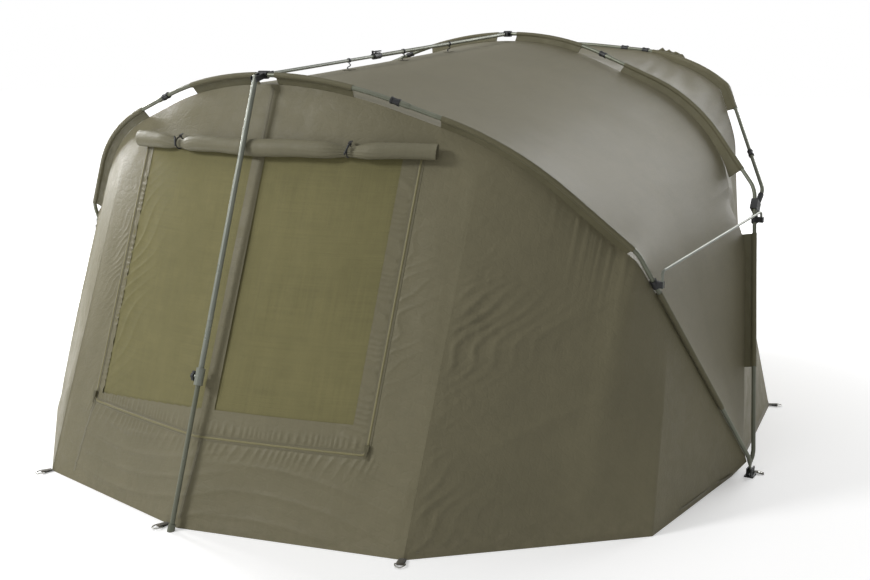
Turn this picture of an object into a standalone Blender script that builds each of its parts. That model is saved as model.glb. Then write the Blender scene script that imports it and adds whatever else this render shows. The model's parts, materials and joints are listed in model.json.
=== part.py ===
"""Bivvy tent: three hooped ribs, tension bars, a ridge bar, a storm pole and the canopy they carry.

Metres, +Z up, X across the front, Y from the front to the back. The ribs fold about
lines parallel to X, so each rib is drawn flat, as points (x, s) with s the distance
from its fold line, and is then leaned over.
"""

import math

import bmesh
import bpy
import numpy as np

# Metals and moulded parts
RIB_RADIUS = 0.008
SOCKET_RADIUS = 0.0098
SOCKET_LENGTH = 0.055
PLUG_DEPTH = 0.040
FIT_GAP = 0.0003
SLIDE_GAP = 0.0004
PIN_RADIUS = 0.003
PIN_GAP = 0.00005
BLADE_HALF_THICKNESS = 0.0025
BLADE_HALF_WIDTH = 0.0095
BLADE_LENGTH = 0.030
BLADE_TAPER = 0.035
BLADE_SLOT_GAP = 0.00045
BLADE_END_GAP = 0.0015
CUT_OVERRUN = 0.004

# Where the ribs stand and how far they lean from upright
AXIS_HEIGHT = 0.020
HALF_SPREAD = 1.497
FRONT_LEAN = math.radians(-32.4)
CENTRE_LEAN = math.radians(30.1)
REAR_LEAN = math.radians(54.0)

# Rib outlines: an elbow's x and s, and a shoulder's x and how far its corner stands over the crown's arc
FRONT_APEX = 1.706
FRONT_SHOULDER = (0.885, 0.085)
FRONT_ELBOW = (1.235, 1.035)
FRONT_CROWN_RADIUS = 1.33
CENTRE_APEX = 1.858
CENTRE_SHOULDER = (0.972, 0.164)
CENTRE_ELBOW = (1.305, 1.135)
CENTRE_CROWN_RADIUS = 1.22
REAR_APEX = 1.130
REAR_SHOULDER = (0.738, 0.084)
REAR_ELBOW = (0.990, 0.794)
REAR_CROWN_RADIUS = 1.60
SHOULDER_BEND = 0.95
ELBOW_BEND = 0.14
FOOT_BEND = 0.10
FOOT_STRAIGHT = 0.075

# Joints between rib sections, as x along the rib
FRONT_JOINT_X = 0.500
CENTRE_JOINT_X = 0.510

# Feet
FOOT_WIDTH = 0.034
FOOT_LENGTH = 0.046
FOOT_HEIGHT = 0.034
FOOT_BASE = 0.0055
EAR_THICKNESS = 0.0045

# Pivot blocks that carry the rear rib
PIVOT_BELOW_ELBOW = 0.071
PIVOT_S = CENTRE_ELBOW[1] - PIVOT_BELOW_ELBOW
PIVOT_OFFSET = 0.030
BLOCK_HALF_WIDTH = 0.0135
BLOCK_HALF_HEIGHT = 0.021
BLOCK_WALL = 0.0055
LUG_END = 0.012
END_SOCKET_RADIUS = 0.0112
END_BLADE = 0.036
END_SOCKET_START = 0.044
END_SOCKET_LENGTH = 0.088
REAR_STRAIGHT = 0.110

# Side tension bars
BAR_RADIUS = 0.005
BAR_OUTBOARD = 0.026
BAR_COLLAR_S = 1.000
BAR_CLIP_S = 0.905
COLLAR_RADIUS = 0.0130
COLLAR_HALF_HEIGHT = 0.015
BAR_REAR_CRANK = 0.034
BAR_FRONT_CRANK = 0.046
BAR_BEND = 0.016
LUG_HALF_HEIGHT = 0.011
LUG_HALF_DEPTH = 0.0095
LUG_WALL = 0.0040

# Apex hubs
HUB_RADIUS = 0.0140
HUB_HALF_WIDTH = 0.018
CROWN_FLAT = 0.024
RIDGE_PIVOT_REACH = 0.034
POLE_PIVOT_REACH = 0.046
POLE_PIVOT_DROP = 0.012
CHEEK_THICKNESS = 0.0035
CHEEK_HALF_HEIGHT = 0.0095
CHEEK_END = 0.010

# Telescopic ridge bar
RIDGE_TUBE_RADIUS = 0.0080
RIDGE_ROD_RADIUS = 0.0062
RIDGE_END = 0.009
RIDGE_OVERLAP = 0.120
RIDGE_CLAMP_FROM_FRONT = 0.660
RIDGE_CLAMP_LENGTH = 0.046
RIDGE_CLAMP_RADIUS = 0.0125
RIDGE_CLAMP_SET_BACK = 0.0368
LEVER_LENGTH = 0.046
LEVER_HALF_WIDTH = 0.0055
LEVER_THICKNESS = 0.0045

# Telescopic storm pole
POLE_RADIUS = 0.0095
POLE_LOWER_RADIUS = 0.0080
POLE_FOOT_AHEAD = 0.028
POLE_CLAMP_HEIGHT = 0.455
POLE_CLAMP_LENGTH = 0.058
POLE_CLAMP_RADIUS = 0.0150
POLE_TRAVEL = 0.300
POLE_FOOT_RADIUS = 0.0125
POLE_FOOT_LENGTH = 0.022
KNOB_RADIUS = 0.0110
KNOB_LENGTH = 0.013
KNOB_STEM_RADIUS = 0.0040
KNOB_BOSS_RADIUS = 0.0064
KNOB_STAND_OFF = 0.02025
KNOB_WING = 0.0165

# Canopy
CLOTH = 0.0012
HEM_LIFT = 0.0004
SKIN_FOOT_S = 0.050
SEAM_GAP = 0.00018
SKIN_DROP = 0.038
ELBOW_CUT = 0.045
ELBOW_CUT_REACH = 0.22
SLEEVE_CLOTH = 0.0009
SLEEVE_SLIT = 0.0004
FIN_CLEARANCE = 0.0020
HUB_NOTCH_MARGIN = 0.010
FRONT_BARE_X_SHARES = (0.70, 1.31)
CENTRE_BARE_X_SHARES = (0.78, 1.23)
SLEEVE_FRONT_END_S = 1.050
SLEEVE_FRONT_LEG_TOP_S = 0.866
SLEEVE_FRONT_LEG_LOW_S = 0.331
SLEEVE_CENTRE_END_S = 1.169
SLEEVE_CENTRE_LEG_TOP_S = 0.940
SLEEVE_CENTRE_LEG_LOW_S = 0.397
SLEEVE_REAR_END_S = 0.630
FRONT_SEAM_X = 0.780
HEM_CENTRE_Y = -1.435
HEM_FRONT_X = 0.774
HEM_FRONT_Y = -1.270
HEM_CORNER_X = 1.374
HEM_CORNER_Y = -0.708
HEM_FOOT_X = 1.440
REAR_CORNER_X = 1.330
REAR_CORNER_Y = 0.915
REAR_MIDDLE_X = 0.820
REAR_MIDDLE_Y = 1.600
REAR_CENTRE_Y = 1.770
ROOF_SAG = 0.050
SIDE_SAG = 0.030
HOOD_SAG = 0.035
REAR_SAG = 0.040
CORNER_FOLD = 0.010
CORNER_FOLD_COUNT = 5

# Front window, its zip and its rolled storm flap
WINDOW_X = 0.600
WINDOW_LOW = 0.285
ZIP_WIDTH = 0.020
ZIP_THICKNESS = 0.0022
SLIDER_HALF_WIDTH = 0.0075
SLIDER_LENGTH = 0.022
SLIDER_THICKNESS = 0.0070
SLIDER_GAP = 0.0008
PULL_LENGTH = 0.034
PULL_HALF_WIDTH = 0.0040
FLAP_X = 0.650
FLAP_DROP = 0.245423
FLAP_HEIGHT = AXIS_HEIGHT + FRONT_APEX * math.cos(FRONT_LEAN) - FLAP_DROP
WINDOW_BEHIND_FLAP = 0.020
WINDOW_HIGH = FLAP_HEIGHT - WINDOW_BEHIND_FLAP
FLAP_HALF_DEPTH = 0.024
FLAP_HALF_HEIGHT = 0.029
FLAP_CLOTH = 0.0022
FLAP_PITCH = 0.0060
FLAP_TURNS = 1.6
FLAP_TIE_X = 0.365
FLAP_PINCH = 0.0080
FLAP_PINCH_LENGTH = 0.050

# Pegging tabs and their rings
TAB_WIDTH = 0.025
TAB_ASIDE = 0.045
SIDE_TAB_OUT_SHARES = (0.35, -1.0)
HEM_SLOPE_SHARE = 0.36
TAB_LENGTH = 0.034
TAB_THICKNESS = 0.0030
TAB_LIFT = 0.0042
TAB_EYE_RADIUS = 0.0052
RING_WIRE = 0.0022
RING_HALF_WIDTH = 0.0165
RING_DEPTH = 0.026

SIDES = 10
FINE_SIDES = 20
LEAST_RUN = 0.004
BEND_STEP = 0.21
TIGHT_BEND_STEP = 0.42
CUTTER_TURN_SHARE = 0.31
STEEP_SHARE = 0.8
LEAST_SHARE = 0.006


def clear_scene():
    """Remove whatever the start-up file holds."""
    for item in list(bpy.data.objects):
        bpy.data.objects.remove(item, do_unlink=True)


def material(name, color, metallic, roughness):
    """A plain shading for one kind of piece."""
    made = bpy.data.materials.new(name)
    made.use_nodes = True
    shader = made.node_tree.nodes["Principled BSDF"]
    shader.inputs["Base Color"].default_value = (*color, 1.0)
    shader.inputs["Metallic"].default_value = metallic
    shader.inputs["Roughness"].default_value = roughness
    made.diffuse_color = (*color, 1.0)
    return made


def add_mesh(name, points, faces, surface, smooth=True):
    """An object from points and faces, with its faces turned outward."""
    mesh = bpy.data.meshes.new(name)
    mesh.from_pydata([tuple(p) for p in points], [], [tuple(f) for f in faces])
    shape = bmesh.new()
    shape.from_mesh(mesh)
    bmesh.ops.recalc_face_normals(shape, faces=shape.faces)
    shape.to_mesh(mesh)
    shape.free()
    mesh.update()
    if smooth:
        mesh.shade_smooth()
    made = bpy.data.objects.new(name, mesh)
    bpy.context.scene.collection.objects.link(made)
    if surface is not None:
        mesh.materials.append(surface)
    return made


def set_origin(made, place):
    """Put an object's origin on its joint without moving its shape."""
    place = np.asarray(place, float)
    for vertex in made.data.vertices:
        vertex.co = np.array(vertex.co) - place
    made.location = place


def cutter(made):
    """Keep a cutting shape out of the model."""
    made.hide_render = True
    made.display_type = "WIRE"
    return made


def cut(made, tool):
    """Take the tool's shape out of an object."""
    step = made.modifiers.new("cut", "BOOLEAN")
    step.operation = "DIFFERENCE"
    step.solver = "EXACT"
    step.object = cutter(tool)


def join(made, tool):
    """Fuse the tool's shape to an object."""
    step = made.modifiers.new("join", "BOOLEAN")
    step.operation = "UNION"
    step.solver = "EXACT"
    step.object = cutter(tool)


def unit(vector):
    vector = np.asarray(vector, float)
    return vector / np.linalg.norm(vector)


def frame_along(direction):
    """Two directions square to the one given."""
    direction = unit(direction)
    helper = np.array([1.0, 0.0, 0.0])
    if abs(direction[0]) > STEEP_SHARE:
        helper = np.array([0.0, 1.0, 0.0])
    across = unit(np.cross(helper, direction))
    return across, np.cross(direction, across)


def box(name, centre, axes, half_sizes, surface=None):
    """A box about a centre, along three square axes."""
    corners = []
    for a in (-1, 1):
        for b in (-1, 1):
            for c in (-1, 1):
                offset = a * half_sizes[0] * axes[0] + b * half_sizes[1] * axes[1]
                corners.append(np.asarray(centre) + offset + c * half_sizes[2] * axes[2])
    faces = [(0, 1, 3, 2), (4, 6, 7, 5), (0, 4, 5, 1), (2, 3, 7, 6), (0, 2, 6, 4), (1, 5, 7, 3)]
    return add_mesh(name, corners, faces, surface, smooth=False)


def lathe(name, start, direction, profile, surface=None, sides=FINE_SIDES):
    """Turn a closed profile of (distance along, radius) about a line; radius 0 ends on it.

    A shape with no surface cuts or joins another, and is turned so that their edges miss.
    """
    offset = 0.0 if surface is not None else CUTTER_TURN_SHARE
    direction = unit(direction)
    across, over = frame_along(direction)
    points = []
    rings = []
    for along, radius in profile:
        centre = np.asarray(start) + along * direction
        if radius == 0:
            rings.append([len(points)] * sides)
            points.append(centre)
            continue
        rings.append(list(range(len(points), len(points) + sides)))
        for k in range(sides):
            angle = 2 * math.pi * (k + offset) / sides
            points.append(centre + radius * (math.cos(angle) * across + math.sin(angle) * over))
    faces = []
    for i in range(len(profile)):
        ring = rings[i]
        after = rings[(i + 1) % len(profile)]
        for k in range(sides):
            corner = [ring[k], ring[(k + 1) % sides], after[(k + 1) % sides], after[k]]
            face = list(dict.fromkeys(corner))
            if len(face) > 2:
                faces.append(face)
    return add_mesh(name, points, faces, surface)


def rod(name, start, end, radius, surface=None, sides=FINE_SIDES):
    """A plain cylinder between two points."""
    length = np.linalg.norm(np.asarray(end) - np.asarray(start))
    profile = [(0.0, 0.0), (0.0, radius), (length, radius), (length, 0.0)]
    return lathe(name, start, np.asarray(end) - np.asarray(start), profile, surface, sides)


def rounded(corners, radii, step=BEND_STEP):
    """Points along straight runs with an arc at each corner that has a radius."""
    corners = [np.asarray(c, float) for c in corners]
    line = [corners[0]]
    for before, corner, after, radius in zip(corners, corners[1:], corners[2:], radii):
        come = unit(corner - before)
        leave = unit(after - corner)
        turn = math.acos(np.clip(come @ leave, -1.0, 1.0))
        reach = radius * math.tan(turn / 2)
        inward = unit(leave - come)
        middle = corner + inward * radius / math.cos(turn / 2)
        steps = 2 * math.ceil(turn / step / 2)
        for k in range(steps + 1):
            angle = turn * k / steps - turn / 2
            spoke = -inward * math.cos(angle) + unit(come + leave) * math.sin(angle)
            line.append(middle + radius * spoke)
        assert reach < np.linalg.norm(after - corner)
    line.append(corners[-1])
    return np.array(line)


def hoop(end, elbow, shoulder, apex, crown_radius, straight):
    """One rib's half outline, (x, s) from its lower end to the middle of its crown."""
    across, over = shoulder
    drop = math.sqrt(crown_radius**2 - across**2) + over
    toward = math.atan2(across, drop)
    turn = toward - math.acos(crown_radius / math.hypot(across, drop))
    peak = (0.0, apex + crown_radius * (1.0 / math.cos(turn) - 1.0))
    high = apex - crown_radius + drop
    corners = [end, (end[0], straight), elbow, (across, high), peak, (-across, high)]
    line = rounded(corners, [FOOT_BEND, ELBOW_BEND, SHOULDER_BEND, crown_radius])
    half = line[line[:, 0] > CROWN_FLAT + LEAST_RUN]
    return np.vstack([half, [CROWN_FLAT, apex], [0.0, apex]])


def full_hoop(half):
    """Both halves of a rib, from the right end over the crown to the left end."""
    other = half[:-1][::-1] * np.array([-1.0, 1.0])
    return np.vstack([half, other])


def lengths_of(line):
    steps = np.linalg.norm(np.diff(line, axis=0), axis=1)
    return np.concatenate([[0.0], np.cumsum(steps)])


def resample(line, start, end, count):
    """Points at even steps between two lengths along a line."""
    at = np.linspace(start, end, count)
    along = lengths_of(line)
    return np.stack([np.interp(at, along, line[:, k]) for k in range(line.shape[1])], 1)


def piece_of(line, start, end):
    """The stretch of a line between two lengths along it, with the line's own points."""
    along = lengths_of(line)
    inside = line[(along > start + LEAST_RUN) & (along < end - LEAST_RUN)]
    first = resample(line, start, start, 1)
    last = resample(line, end, end, 1)
    return np.vstack([first, inside, last])


def shares_of(line, start, end):
    """Where a line's own points fall between two lengths, from 0 to 1."""
    along = lengths_of(line)
    inside = along[(along > start + LEAST_RUN) & (along < end - LEAST_RUN)]
    return (inside - start) / (end - start)


def merged(*share_sets, least=LEAST_SHARE):
    """All the shares of several lines in order, near ones made one."""
    every = np.sort(np.concatenate([np.asarray(s, float) for s in share_sets]))
    kept = [0.0]
    for share in every:
        if share - kept[-1] > least and share < 1.0 - least:
            kept.append(float(share))
    return np.array(kept + [1.0])


def at_shares(line, start, end, shares):
    """Points of a line at shares of the way between two lengths."""
    along = lengths_of(line)
    at = start + (end - start) * np.asarray(shares)
    return np.stack([np.interp(at, along, line[:, k]) for k in range(line.shape[1])], 1)


def length_at_x(line, x):
    """Length along a hoop, from its right end, at which it reaches x on its right half."""
    along = lengths_of(line)
    half = len(line) // 2 + 1
    return float(np.interp(-x, -line[:half, 0], along[:half]))


def length_at_s(line, s):
    """Length along a hoop, from its right end, at which its leg reaches s."""
    along = lengths_of(line)
    half = len(line) // 2 + 1
    return float(np.interp(s, line[:half, 1], along[:half]))


class Plane:
    """The leaned plane of a rib: turns flat (x, s) into places."""

    def __init__(self, pivot_y, pivot_z, lean):
        self.pivot = np.array([0.0, pivot_y, pivot_z])
        self.up = np.array([0.0, math.sin(lean), math.cos(lean)])
        self.back = np.array([0.0, math.cos(lean), -math.sin(lean)])

    def place(self, flat):
        flat = np.atleast_2d(flat)
        across = np.zeros((len(flat), 3))
        across[:, 0] = flat[:, 0]
        return self.pivot + across + flat[:, 1:2] * self.up

    def direction(self, flat):
        return unit(np.array([flat[0], 0.0, 0.0]) + flat[1] * self.up)


FRONT = Plane(0.0, AXIS_HEIGHT, FRONT_LEAN)
CENTRE = Plane(0.0, AXIS_HEIGHT, CENTRE_LEAN)
REAR_PIVOT = CENTRE.pivot + PIVOT_S * CENTRE.up + PIVOT_OFFSET * CENTRE.back
REAR = Plane(REAR_PIVOT[1], REAR_PIVOT[2], REAR_LEAN)


def sweep(name, flat, plane, section, surface, smooth=True):
    """Draw a section along a flat line. section(i) gives (outward, sideways) points."""
    tangent = np.gradient(flat, axis=0)
    for i in range(1, len(flat) - 1):
        tangent[i] = unit(flat[i] - flat[i - 1]) + unit(flat[i + 1] - flat[i])
    places = plane.place(flat)
    points = []
    count = len(section(0))
    for i, place in enumerate(places):
        along = unit(tangent[i])
        outward = np.array([along[1], 0.0, 0.0]) - along[0] * plane.up
        for out, side in section(i):
            points.append(place + out * outward + side * plane.back)
    faces = [list(range(count)), list(range((len(places) - 1) * count, len(places) * count))]
    for i in range(len(places) - 1):
        for k in range(count):
            a = i * count + k
            b = i * count + (k + 1) % count
            faces.append([a, b, b + count, a + count])
    return add_mesh(name, points, faces, surface, smooth)


def oval(out_radius, side_radius, sides=SIDES):
    """Points of an oval section."""
    angles = [2 * math.pi * (k + 0.5) / sides for k in range(sides)]
    return [(out_radius * math.cos(a), side_radius * math.sin(a)) for a in angles]


def tube_along(name, flat, plane, radius, surface):
    """A round tube along a flat line."""
    ring = oval(radius, radius)
    return sweep(name, flat, plane, lambda i: ring, surface)


def leg_of(name, hoop_line, plane, joint_length, side, surface):
    """A rib's leg: flattened at its lower end, swaged to a socket at its upper end."""
    shaft_start = BLADE_LENGTH + BLADE_TAPER
    socket_start = joint_length - SOCKET_LENGTH
    flat = np.vstack(
        [
            resample(hoop_line, 0.0, BLADE_LENGTH, 2),
            piece_of(hoop_line, shaft_start, socket_start - LEAST_RUN),
            resample(hoop_line, socket_start, joint_length, 2),
        ]
    )
    last = len(flat) - 1

    def section(i):
        if i < 2:
            return oval(BLADE_HALF_THICKNESS, BLADE_HALF_WIDTH)
        if i >= last - 1:
            return oval(SOCKET_RADIUS, SOCKET_RADIUS)
        return oval(RIB_RADIUS, RIB_RADIUS)

    mirrored = flat * np.array([side, 1.0])
    made = sweep(name, mirrored, plane, section, surface)
    mouth = plane.place(mirrored[-1:])[0]
    inward = plane.place(mirrored[-2:-1])[0]
    reach = unit(inward - mouth)
    bore_start = mouth - CUT_OVERRUN * reach
    bore_end = mouth + (PLUG_DEPTH + FIT_GAP) * reach
    cut(made, rod(name + "_bore", bore_start, bore_end, RIB_RADIUS + SLIDE_GAP))
    return made


def pin_hole(made, name, centre, radius, half_length):
    """Drill an object along X."""
    reach = np.array([half_length, 0.0, 0.0])
    cut(made, rod(name, centre - reach, centre + reach, radius))


def build_foot(side, name, surface):
    """A moulded foot with two ears and the pin that both legs turn on."""
    slot = 2 * BLADE_HALF_THICKNESS + BLADE_SLOT_GAP
    outer = slot + EAR_THICKNESS
    half = FOOT_WIDTH / 2
    outline = [
        (-half, 0.0),
        (half, 0.0),
        (half, FOOT_BASE),
        (outer, FOOT_BASE),
        (outer, FOOT_HEIGHT),
        (slot, FOOT_HEIGHT),
        (slot, FOOT_BASE),
        (-slot, FOOT_BASE),
        (-slot, FOOT_HEIGHT),
        (-outer, FOOT_HEIGHT),
        (-outer, FOOT_BASE),
        (-half, FOOT_BASE),
    ]
    x = side * HALF_SPREAD
    points = []
    for y in (-FOOT_LENGTH / 2, FOOT_LENGTH / 2):
        points += [np.array([x + a, y, b]) for a, b in outline]
    count = len(outline)
    faces = [list(range(count)), list(range(count, 2 * count))]
    for k in range(count):
        faces.append([k, (k + 1) % count, (k + 1) % count + count, k + count])
    made = add_mesh(name, points, faces, surface, smooth=False)
    centre = np.array([x, 0.0, AXIS_HEIGHT])
    reach = np.array([outer - FIT_GAP, 0.0, 0.0])
    join(made, rod(name + "_pin", centre - reach, centre + reach, PIN_RADIUS))
    return made


def build_block(side, name, surface):
    """A block clamped on the centre leg whose lugs and pin carry the rear rib."""
    x = side * PIVOT_X
    leg_centre = np.array([x, 0.0, 0.0]) + CENTRE.pivot + PIVOT_S * CENTRE.up
    front_reach = RIB_RADIUS + BLOCK_WALL
    back_reach = PIVOT_OFFSET + LUG_END
    middle = leg_centre + CENTRE.back * (back_reach - front_reach) / 2
    axes = (np.array([1.0, 0.0, 0.0]), CENTRE.back, CENTRE.up)
    sizes = (BLOCK_HALF_WIDTH, (back_reach + front_reach) / 2, BLOCK_HALF_HEIGHT)
    made = box(name, middle, axes, sizes, surface)
    leg = leg_direction(CENTRE, CENTRE_ELBOW, side)
    reach = BLOCK_HALF_HEIGHT + 2 * CUT_OVERRUN
    bore = rod(name + "_bore", leg_centre - reach * leg, leg_centre + reach * leg, RIB_RADIUS + SLIDE_GAP)
    cut(made, bore)
    slot_start = RIB_RADIUS + BLOCK_WALL
    slot_half = (back_reach + CUT_OVERRUN - slot_start) / 2
    slot_middle = leg_centre + CENTRE.back * (slot_start + slot_half)
    slot_sizes = (BLADE_HALF_THICKNESS + FIT_GAP, slot_half, BLOCK_HALF_HEIGHT + CUT_OVERRUN)
    cut(made, box(name + "_slot", slot_middle, axes, slot_sizes))
    centre = np.array([x, REAR_PIVOT[1], REAR_PIVOT[2]])
    half_pin = np.array([BLOCK_HALF_WIDTH - FIT_GAP, 0.0, 0.0])
    join(made, rod(name + "_pin", centre - half_pin, centre + half_pin, PIN_RADIUS))
    return made, x


def leg_direction(plane, elbow, side):
    """The way a leg runs, from its foot up to its elbow."""
    return plane.direction((side * (elbow[0] - HALF_SPREAD), elbow[1] - FOOT_STRAIGHT))


def build_collar(side, name, plane, elbow, hoop_line, s, open_out, surface):
    """A collar on a leg with a lug outboard that takes a bar's turned-down end."""
    at = length_at_s(hoop_line, s)
    flat = resample(hoop_line, at, at, 1)
    centre = plane.place(flat * np.array([side, 1.0]))[0]
    leg = leg_direction(plane, elbow, side)
    lower = centre - COLLAR_HALF_HEIGHT * leg
    upper = centre + COLLAR_HALF_HEIGHT * leg
    made = rod(name, lower, upper, COLLAR_RADIUS, surface)
    x_axis = np.array([float(side), 0.0, 0.0])
    y_axis = np.array([0.0, 1.0, 0.0])
    z_axis = np.array([0.0, 0.0, 1.0])
    lug_reach = BAR_OUTBOARD + BAR_RADIUS + (0.0 if open_out else LUG_WALL)
    lug_start = RIB_RADIUS + SLIDE_GAP
    lug_middle = centre + x_axis * (lug_reach + lug_start) / 2
    sizes = ((lug_reach - lug_start) / 2, LUG_HALF_DEPTH, LUG_HALF_HEIGHT)
    join(made, box(name + "_lug", lug_middle, (x_axis, y_axis, z_axis), sizes))
    reach = (COLLAR_HALF_HEIGHT + CUT_OVERRUN) * leg
    cut(made, rod(name + "_bore", centre - reach, centre + reach, RIB_RADIUS + SLIDE_GAP))
    socket = centre + BAR_OUTBOARD * x_axis
    tall = (LUG_HALF_HEIGHT + CUT_OVERRUN) * z_axis
    gap = SLIDE_GAP if open_out else PIN_GAP
    bore = (BAR_RADIUS + gap) / math.cos(math.pi / FINE_SIDES)
    cut(made, rod(name + "_socket", socket - tall, socket + tall, bore))
    if open_out:
        mouth = socket + x_axis * (BAR_RADIUS + CUT_OVERRUN) / 2
        mouth_sizes = ((BAR_RADIUS + CUT_OVERRUN) / 2, BAR_RADIUS + gap, LUG_HALF_HEIGHT + CUT_OVERRUN)
        cut(made, box(name + "_mouth", mouth, (x_axis, y_axis, z_axis), mouth_sizes))
    return made, socket


def pipe(name, line, radius, surface, sides=SIDES, closed=False):
    """A round bar along points in space."""
    line = np.asarray(line, float)
    count = len(line)
    points = []
    across, over = frame_along(line[1] - line[0])
    for i in range(count):
        before = line[i - 1] if closed or i else line[i]
        after = line[(i + 1) % count] if closed or i < count - 1 else line[i]
        come = unit(line[i] - before) if np.any(line[i] != before) else np.zeros(3)
        leave = unit(after - line[i]) if np.any(line[i] != after) else np.zeros(3)
        along = unit(come + leave)
        across = unit(across - (across @ along) * along)
        over = np.cross(along, across)
        for k in range(sides):
            angle = 2 * math.pi * (k + 0.5) / sides
            points.append(line[i] + radius * (math.cos(angle) * across + math.sin(angle) * over))
    faces = []
    turns = count if closed else count - 1
    for i in range(turns):
        for k in range(sides):
            a = i * sides + k
            b = i * sides + (k + 1) % sides
            c = ((i + 1) % count) * sides + (k + 1) % sides
            d = ((i + 1) % count) * sides + k
            faces.append([a, b, c, d])
    if not closed:
        faces += [list(range(sides)), list(range((count - 1) * sides, count * sides))]
    return add_mesh(name, points, faces, surface)


def build_bar(name, rear_socket, front_socket, surface):
    """A side tension bar with both ends turned down into their sockets."""
    up = np.array([0.0, 0.0, 1.0])
    depth = LUG_HALF_HEIGHT * up
    corners = [
        rear_socket - depth,
        rear_socket + BAR_REAR_CRANK * up,
        front_socket + BAR_FRONT_CRANK * up,
        front_socket - depth,
    ]
    made = pipe(name, rounded(corners, [BAR_BEND, BAR_BEND], TIGHT_BEND_STEP), BAR_RADIUS, surface)
    set_origin(made, rear_socket)
    return made


def cheek_pair(made, name, start, direction, reach, inner):
    """Fuse two upright plates to a hub, either side of what hangs between them."""
    direction = unit(direction)
    over = np.cross(np.array([1.0, 0.0, 0.0]), direction)
    inside = RIB_RADIUS + 3 * SLIDE_GAP
    half = (reach + CHEEK_END - inside) / 2
    middle = np.asarray(start) + direction * (inside + half)
    for side in (-1, 1):
        x = side * (inner + CHEEK_THICKNESS / 2)
        centre = middle + np.array([x, 0.0, 0.0])
        axes = (np.array([1.0, 0.0, 0.0]), direction, over)
        sizes = (CHEEK_THICKNESS / 2, half, CHEEK_HALF_HEIGHT)
        join(made, box(f"{name}_{side}", centre, axes, sizes))


def build_hub(name, apex, arms, surface):
    """A collar round a crown with a pair of cheeks for each arm: (pivot, half gap, pinned)."""
    half = np.array([HUB_HALF_WIDTH, 0.0, 0.0])
    made = rod(name, apex - half, apex + half, HUB_RADIUS, surface)
    reach = half + np.array([CUT_OVERRUN, 0.0, 0.0])
    cut(made, rod(name + "_bore", apex - reach, apex + reach, RIB_RADIUS + 2 * SLIDE_GAP))
    for k, (pivot, inner, _) in enumerate(arms):
        away = pivot - apex
        cheek_pair(made, f"{name}_cheek{k}", apex, away, np.linalg.norm(away), inner)
    for k, (pivot, inner, pinned) in enumerate(arms):
        if pinned:
            pin = np.array([inner + CHEEK_THICKNESS - FIT_GAP, 0.0, 0.0])
            join(made, rod(f"{name}_pin{k}", pivot - pin, pivot + pin, PIN_RADIUS))
    return made


EDGES = {
    "top": (np.s_[0, :], np.s_[1, :]),
    "low": (np.s_[-1, :], np.s_[-2, :]),
    "left": (np.s_[:, 0], np.s_[:, 1]),
    "right": (np.s_[:, -1], np.s_[:, -2]),
    "top_start": (np.s_[0, :2], np.s_[1, :2]),
    "top_rest": (np.s_[0, 1:], np.s_[1, 1:]),
}


def trimmed(grid, normal, thickness, trims):
    """Draw trimmed edges back from their seam planes and cut them parallel to these.

    trims gives a plane's normal for each edge that is sewn to another sheet, so two
    sheets that meet in a seam leave one even gap between them at any angle.
    """
    grid = grid.copy()
    planes = {}
    for side, plane in trims.items():
        edge, inside = EDGES[side]
        into = grid[inside] - grid[edge]
        off = np.abs(into @ plane)[:, None]
        grid[edge] = grid[edge] + into * SEAM_GAP / off
        flags = np.zeros(grid.shape[:2], bool)
        flags[edge] = True
        for place in zip(*np.nonzero(flags)):
            planes.setdefault(place, []).append(plane)
    offset = normal * thickness / 2
    for place, found in planes.items():
        own = normal[place]
        if len(found) > 1:
            along = unit(np.cross(found[0], found[1]))
            along = along if along @ own > 0 else -along
        else:
            along = unit(own - (own @ found[0]) * found[0])
        offset[place] = along * thickness / 2 / (along @ own)
    return grid, offset


def shell(name, grid, surface, thickness=CLOTH, missing=None, trims=None):
    """A closed sheet on a grid of points, with cells left out where missing says so."""
    rows, columns = grid.shape[:2]
    down = np.gradient(grid, axis=0)
    across = np.gradient(grid, axis=1)
    normal = np.cross(across, down)
    normal /= np.linalg.norm(normal, axis=2, keepdims=True)
    grid, offset = trimmed(grid, normal, thickness, trims or {})
    near = grid - offset
    far = grid + offset
    solid = np.ones((rows - 1, columns - 1), bool)
    if missing is not None:
        solid &= ~missing
    points = np.concatenate([near.reshape(-1, 3), far.reshape(-1, 3)])
    total = rows * columns
    faces = []
    edges = {}
    for i, j in zip(*np.nonzero(solid)):
        a = i * columns + j
        corner = [a, a + 1, a + columns + 1, a + columns]
        rising = np.linalg.norm(grid[i, j + 1] - grid[i + 1, j])
        falling = np.linalg.norm(grid[i, j] - grid[i + 1, j + 1])
        halves = [(3, 0, 1), (1, 2, 3)] if rising < falling - FIT_GAP else [(0, 1, 2), (2, 3, 0)]
        for half in halves:
            faces.append([corner[c] for c in half])
            faces.append([total + corner[c] for c in reversed(half)])
        for p, q in zip(corner, corner[1:] + corner[:1]):
            if (q, p) in edges:
                edges.pop((q, p))
            else:
                edges[(p, q)] = True
    for p, q in edges:
        faces.append([q, p, total + p, total + q])
    used = sorted({index for face in faces for index in face})
    order = {old: new for new, old in enumerate(used)}
    faces = [[order[index] for index in face] for face in faces]
    return add_mesh(name, points[used], faces, surface)


def seam_plane(start, end, into_a, into_b):
    """The normal of the plane that halves the angle of two sheets along a straight seam."""
    seam = unit(np.asarray(end) - np.asarray(start))
    sides = []
    for into in (into_a, into_b):
        into = np.asarray(into) - np.asarray(start)
        sides.append(unit(into - (into @ seam) * seam))
    return unit(sides[0] - sides[1])


def ruled(upper, lower, rows, sag=None):
    """Rows of points from an upper line to a lower one, with an optional sag(v, k)."""
    grid = []
    for v in np.linspace(0.0, 1.0, rows):
        row = upper * (1.0 - v) + lower * v
        if sag is not None:
            row = row + np.array([sag(v, k) for k in range(len(upper))])
        grid.append(row)
    return np.array(grid)


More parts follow.
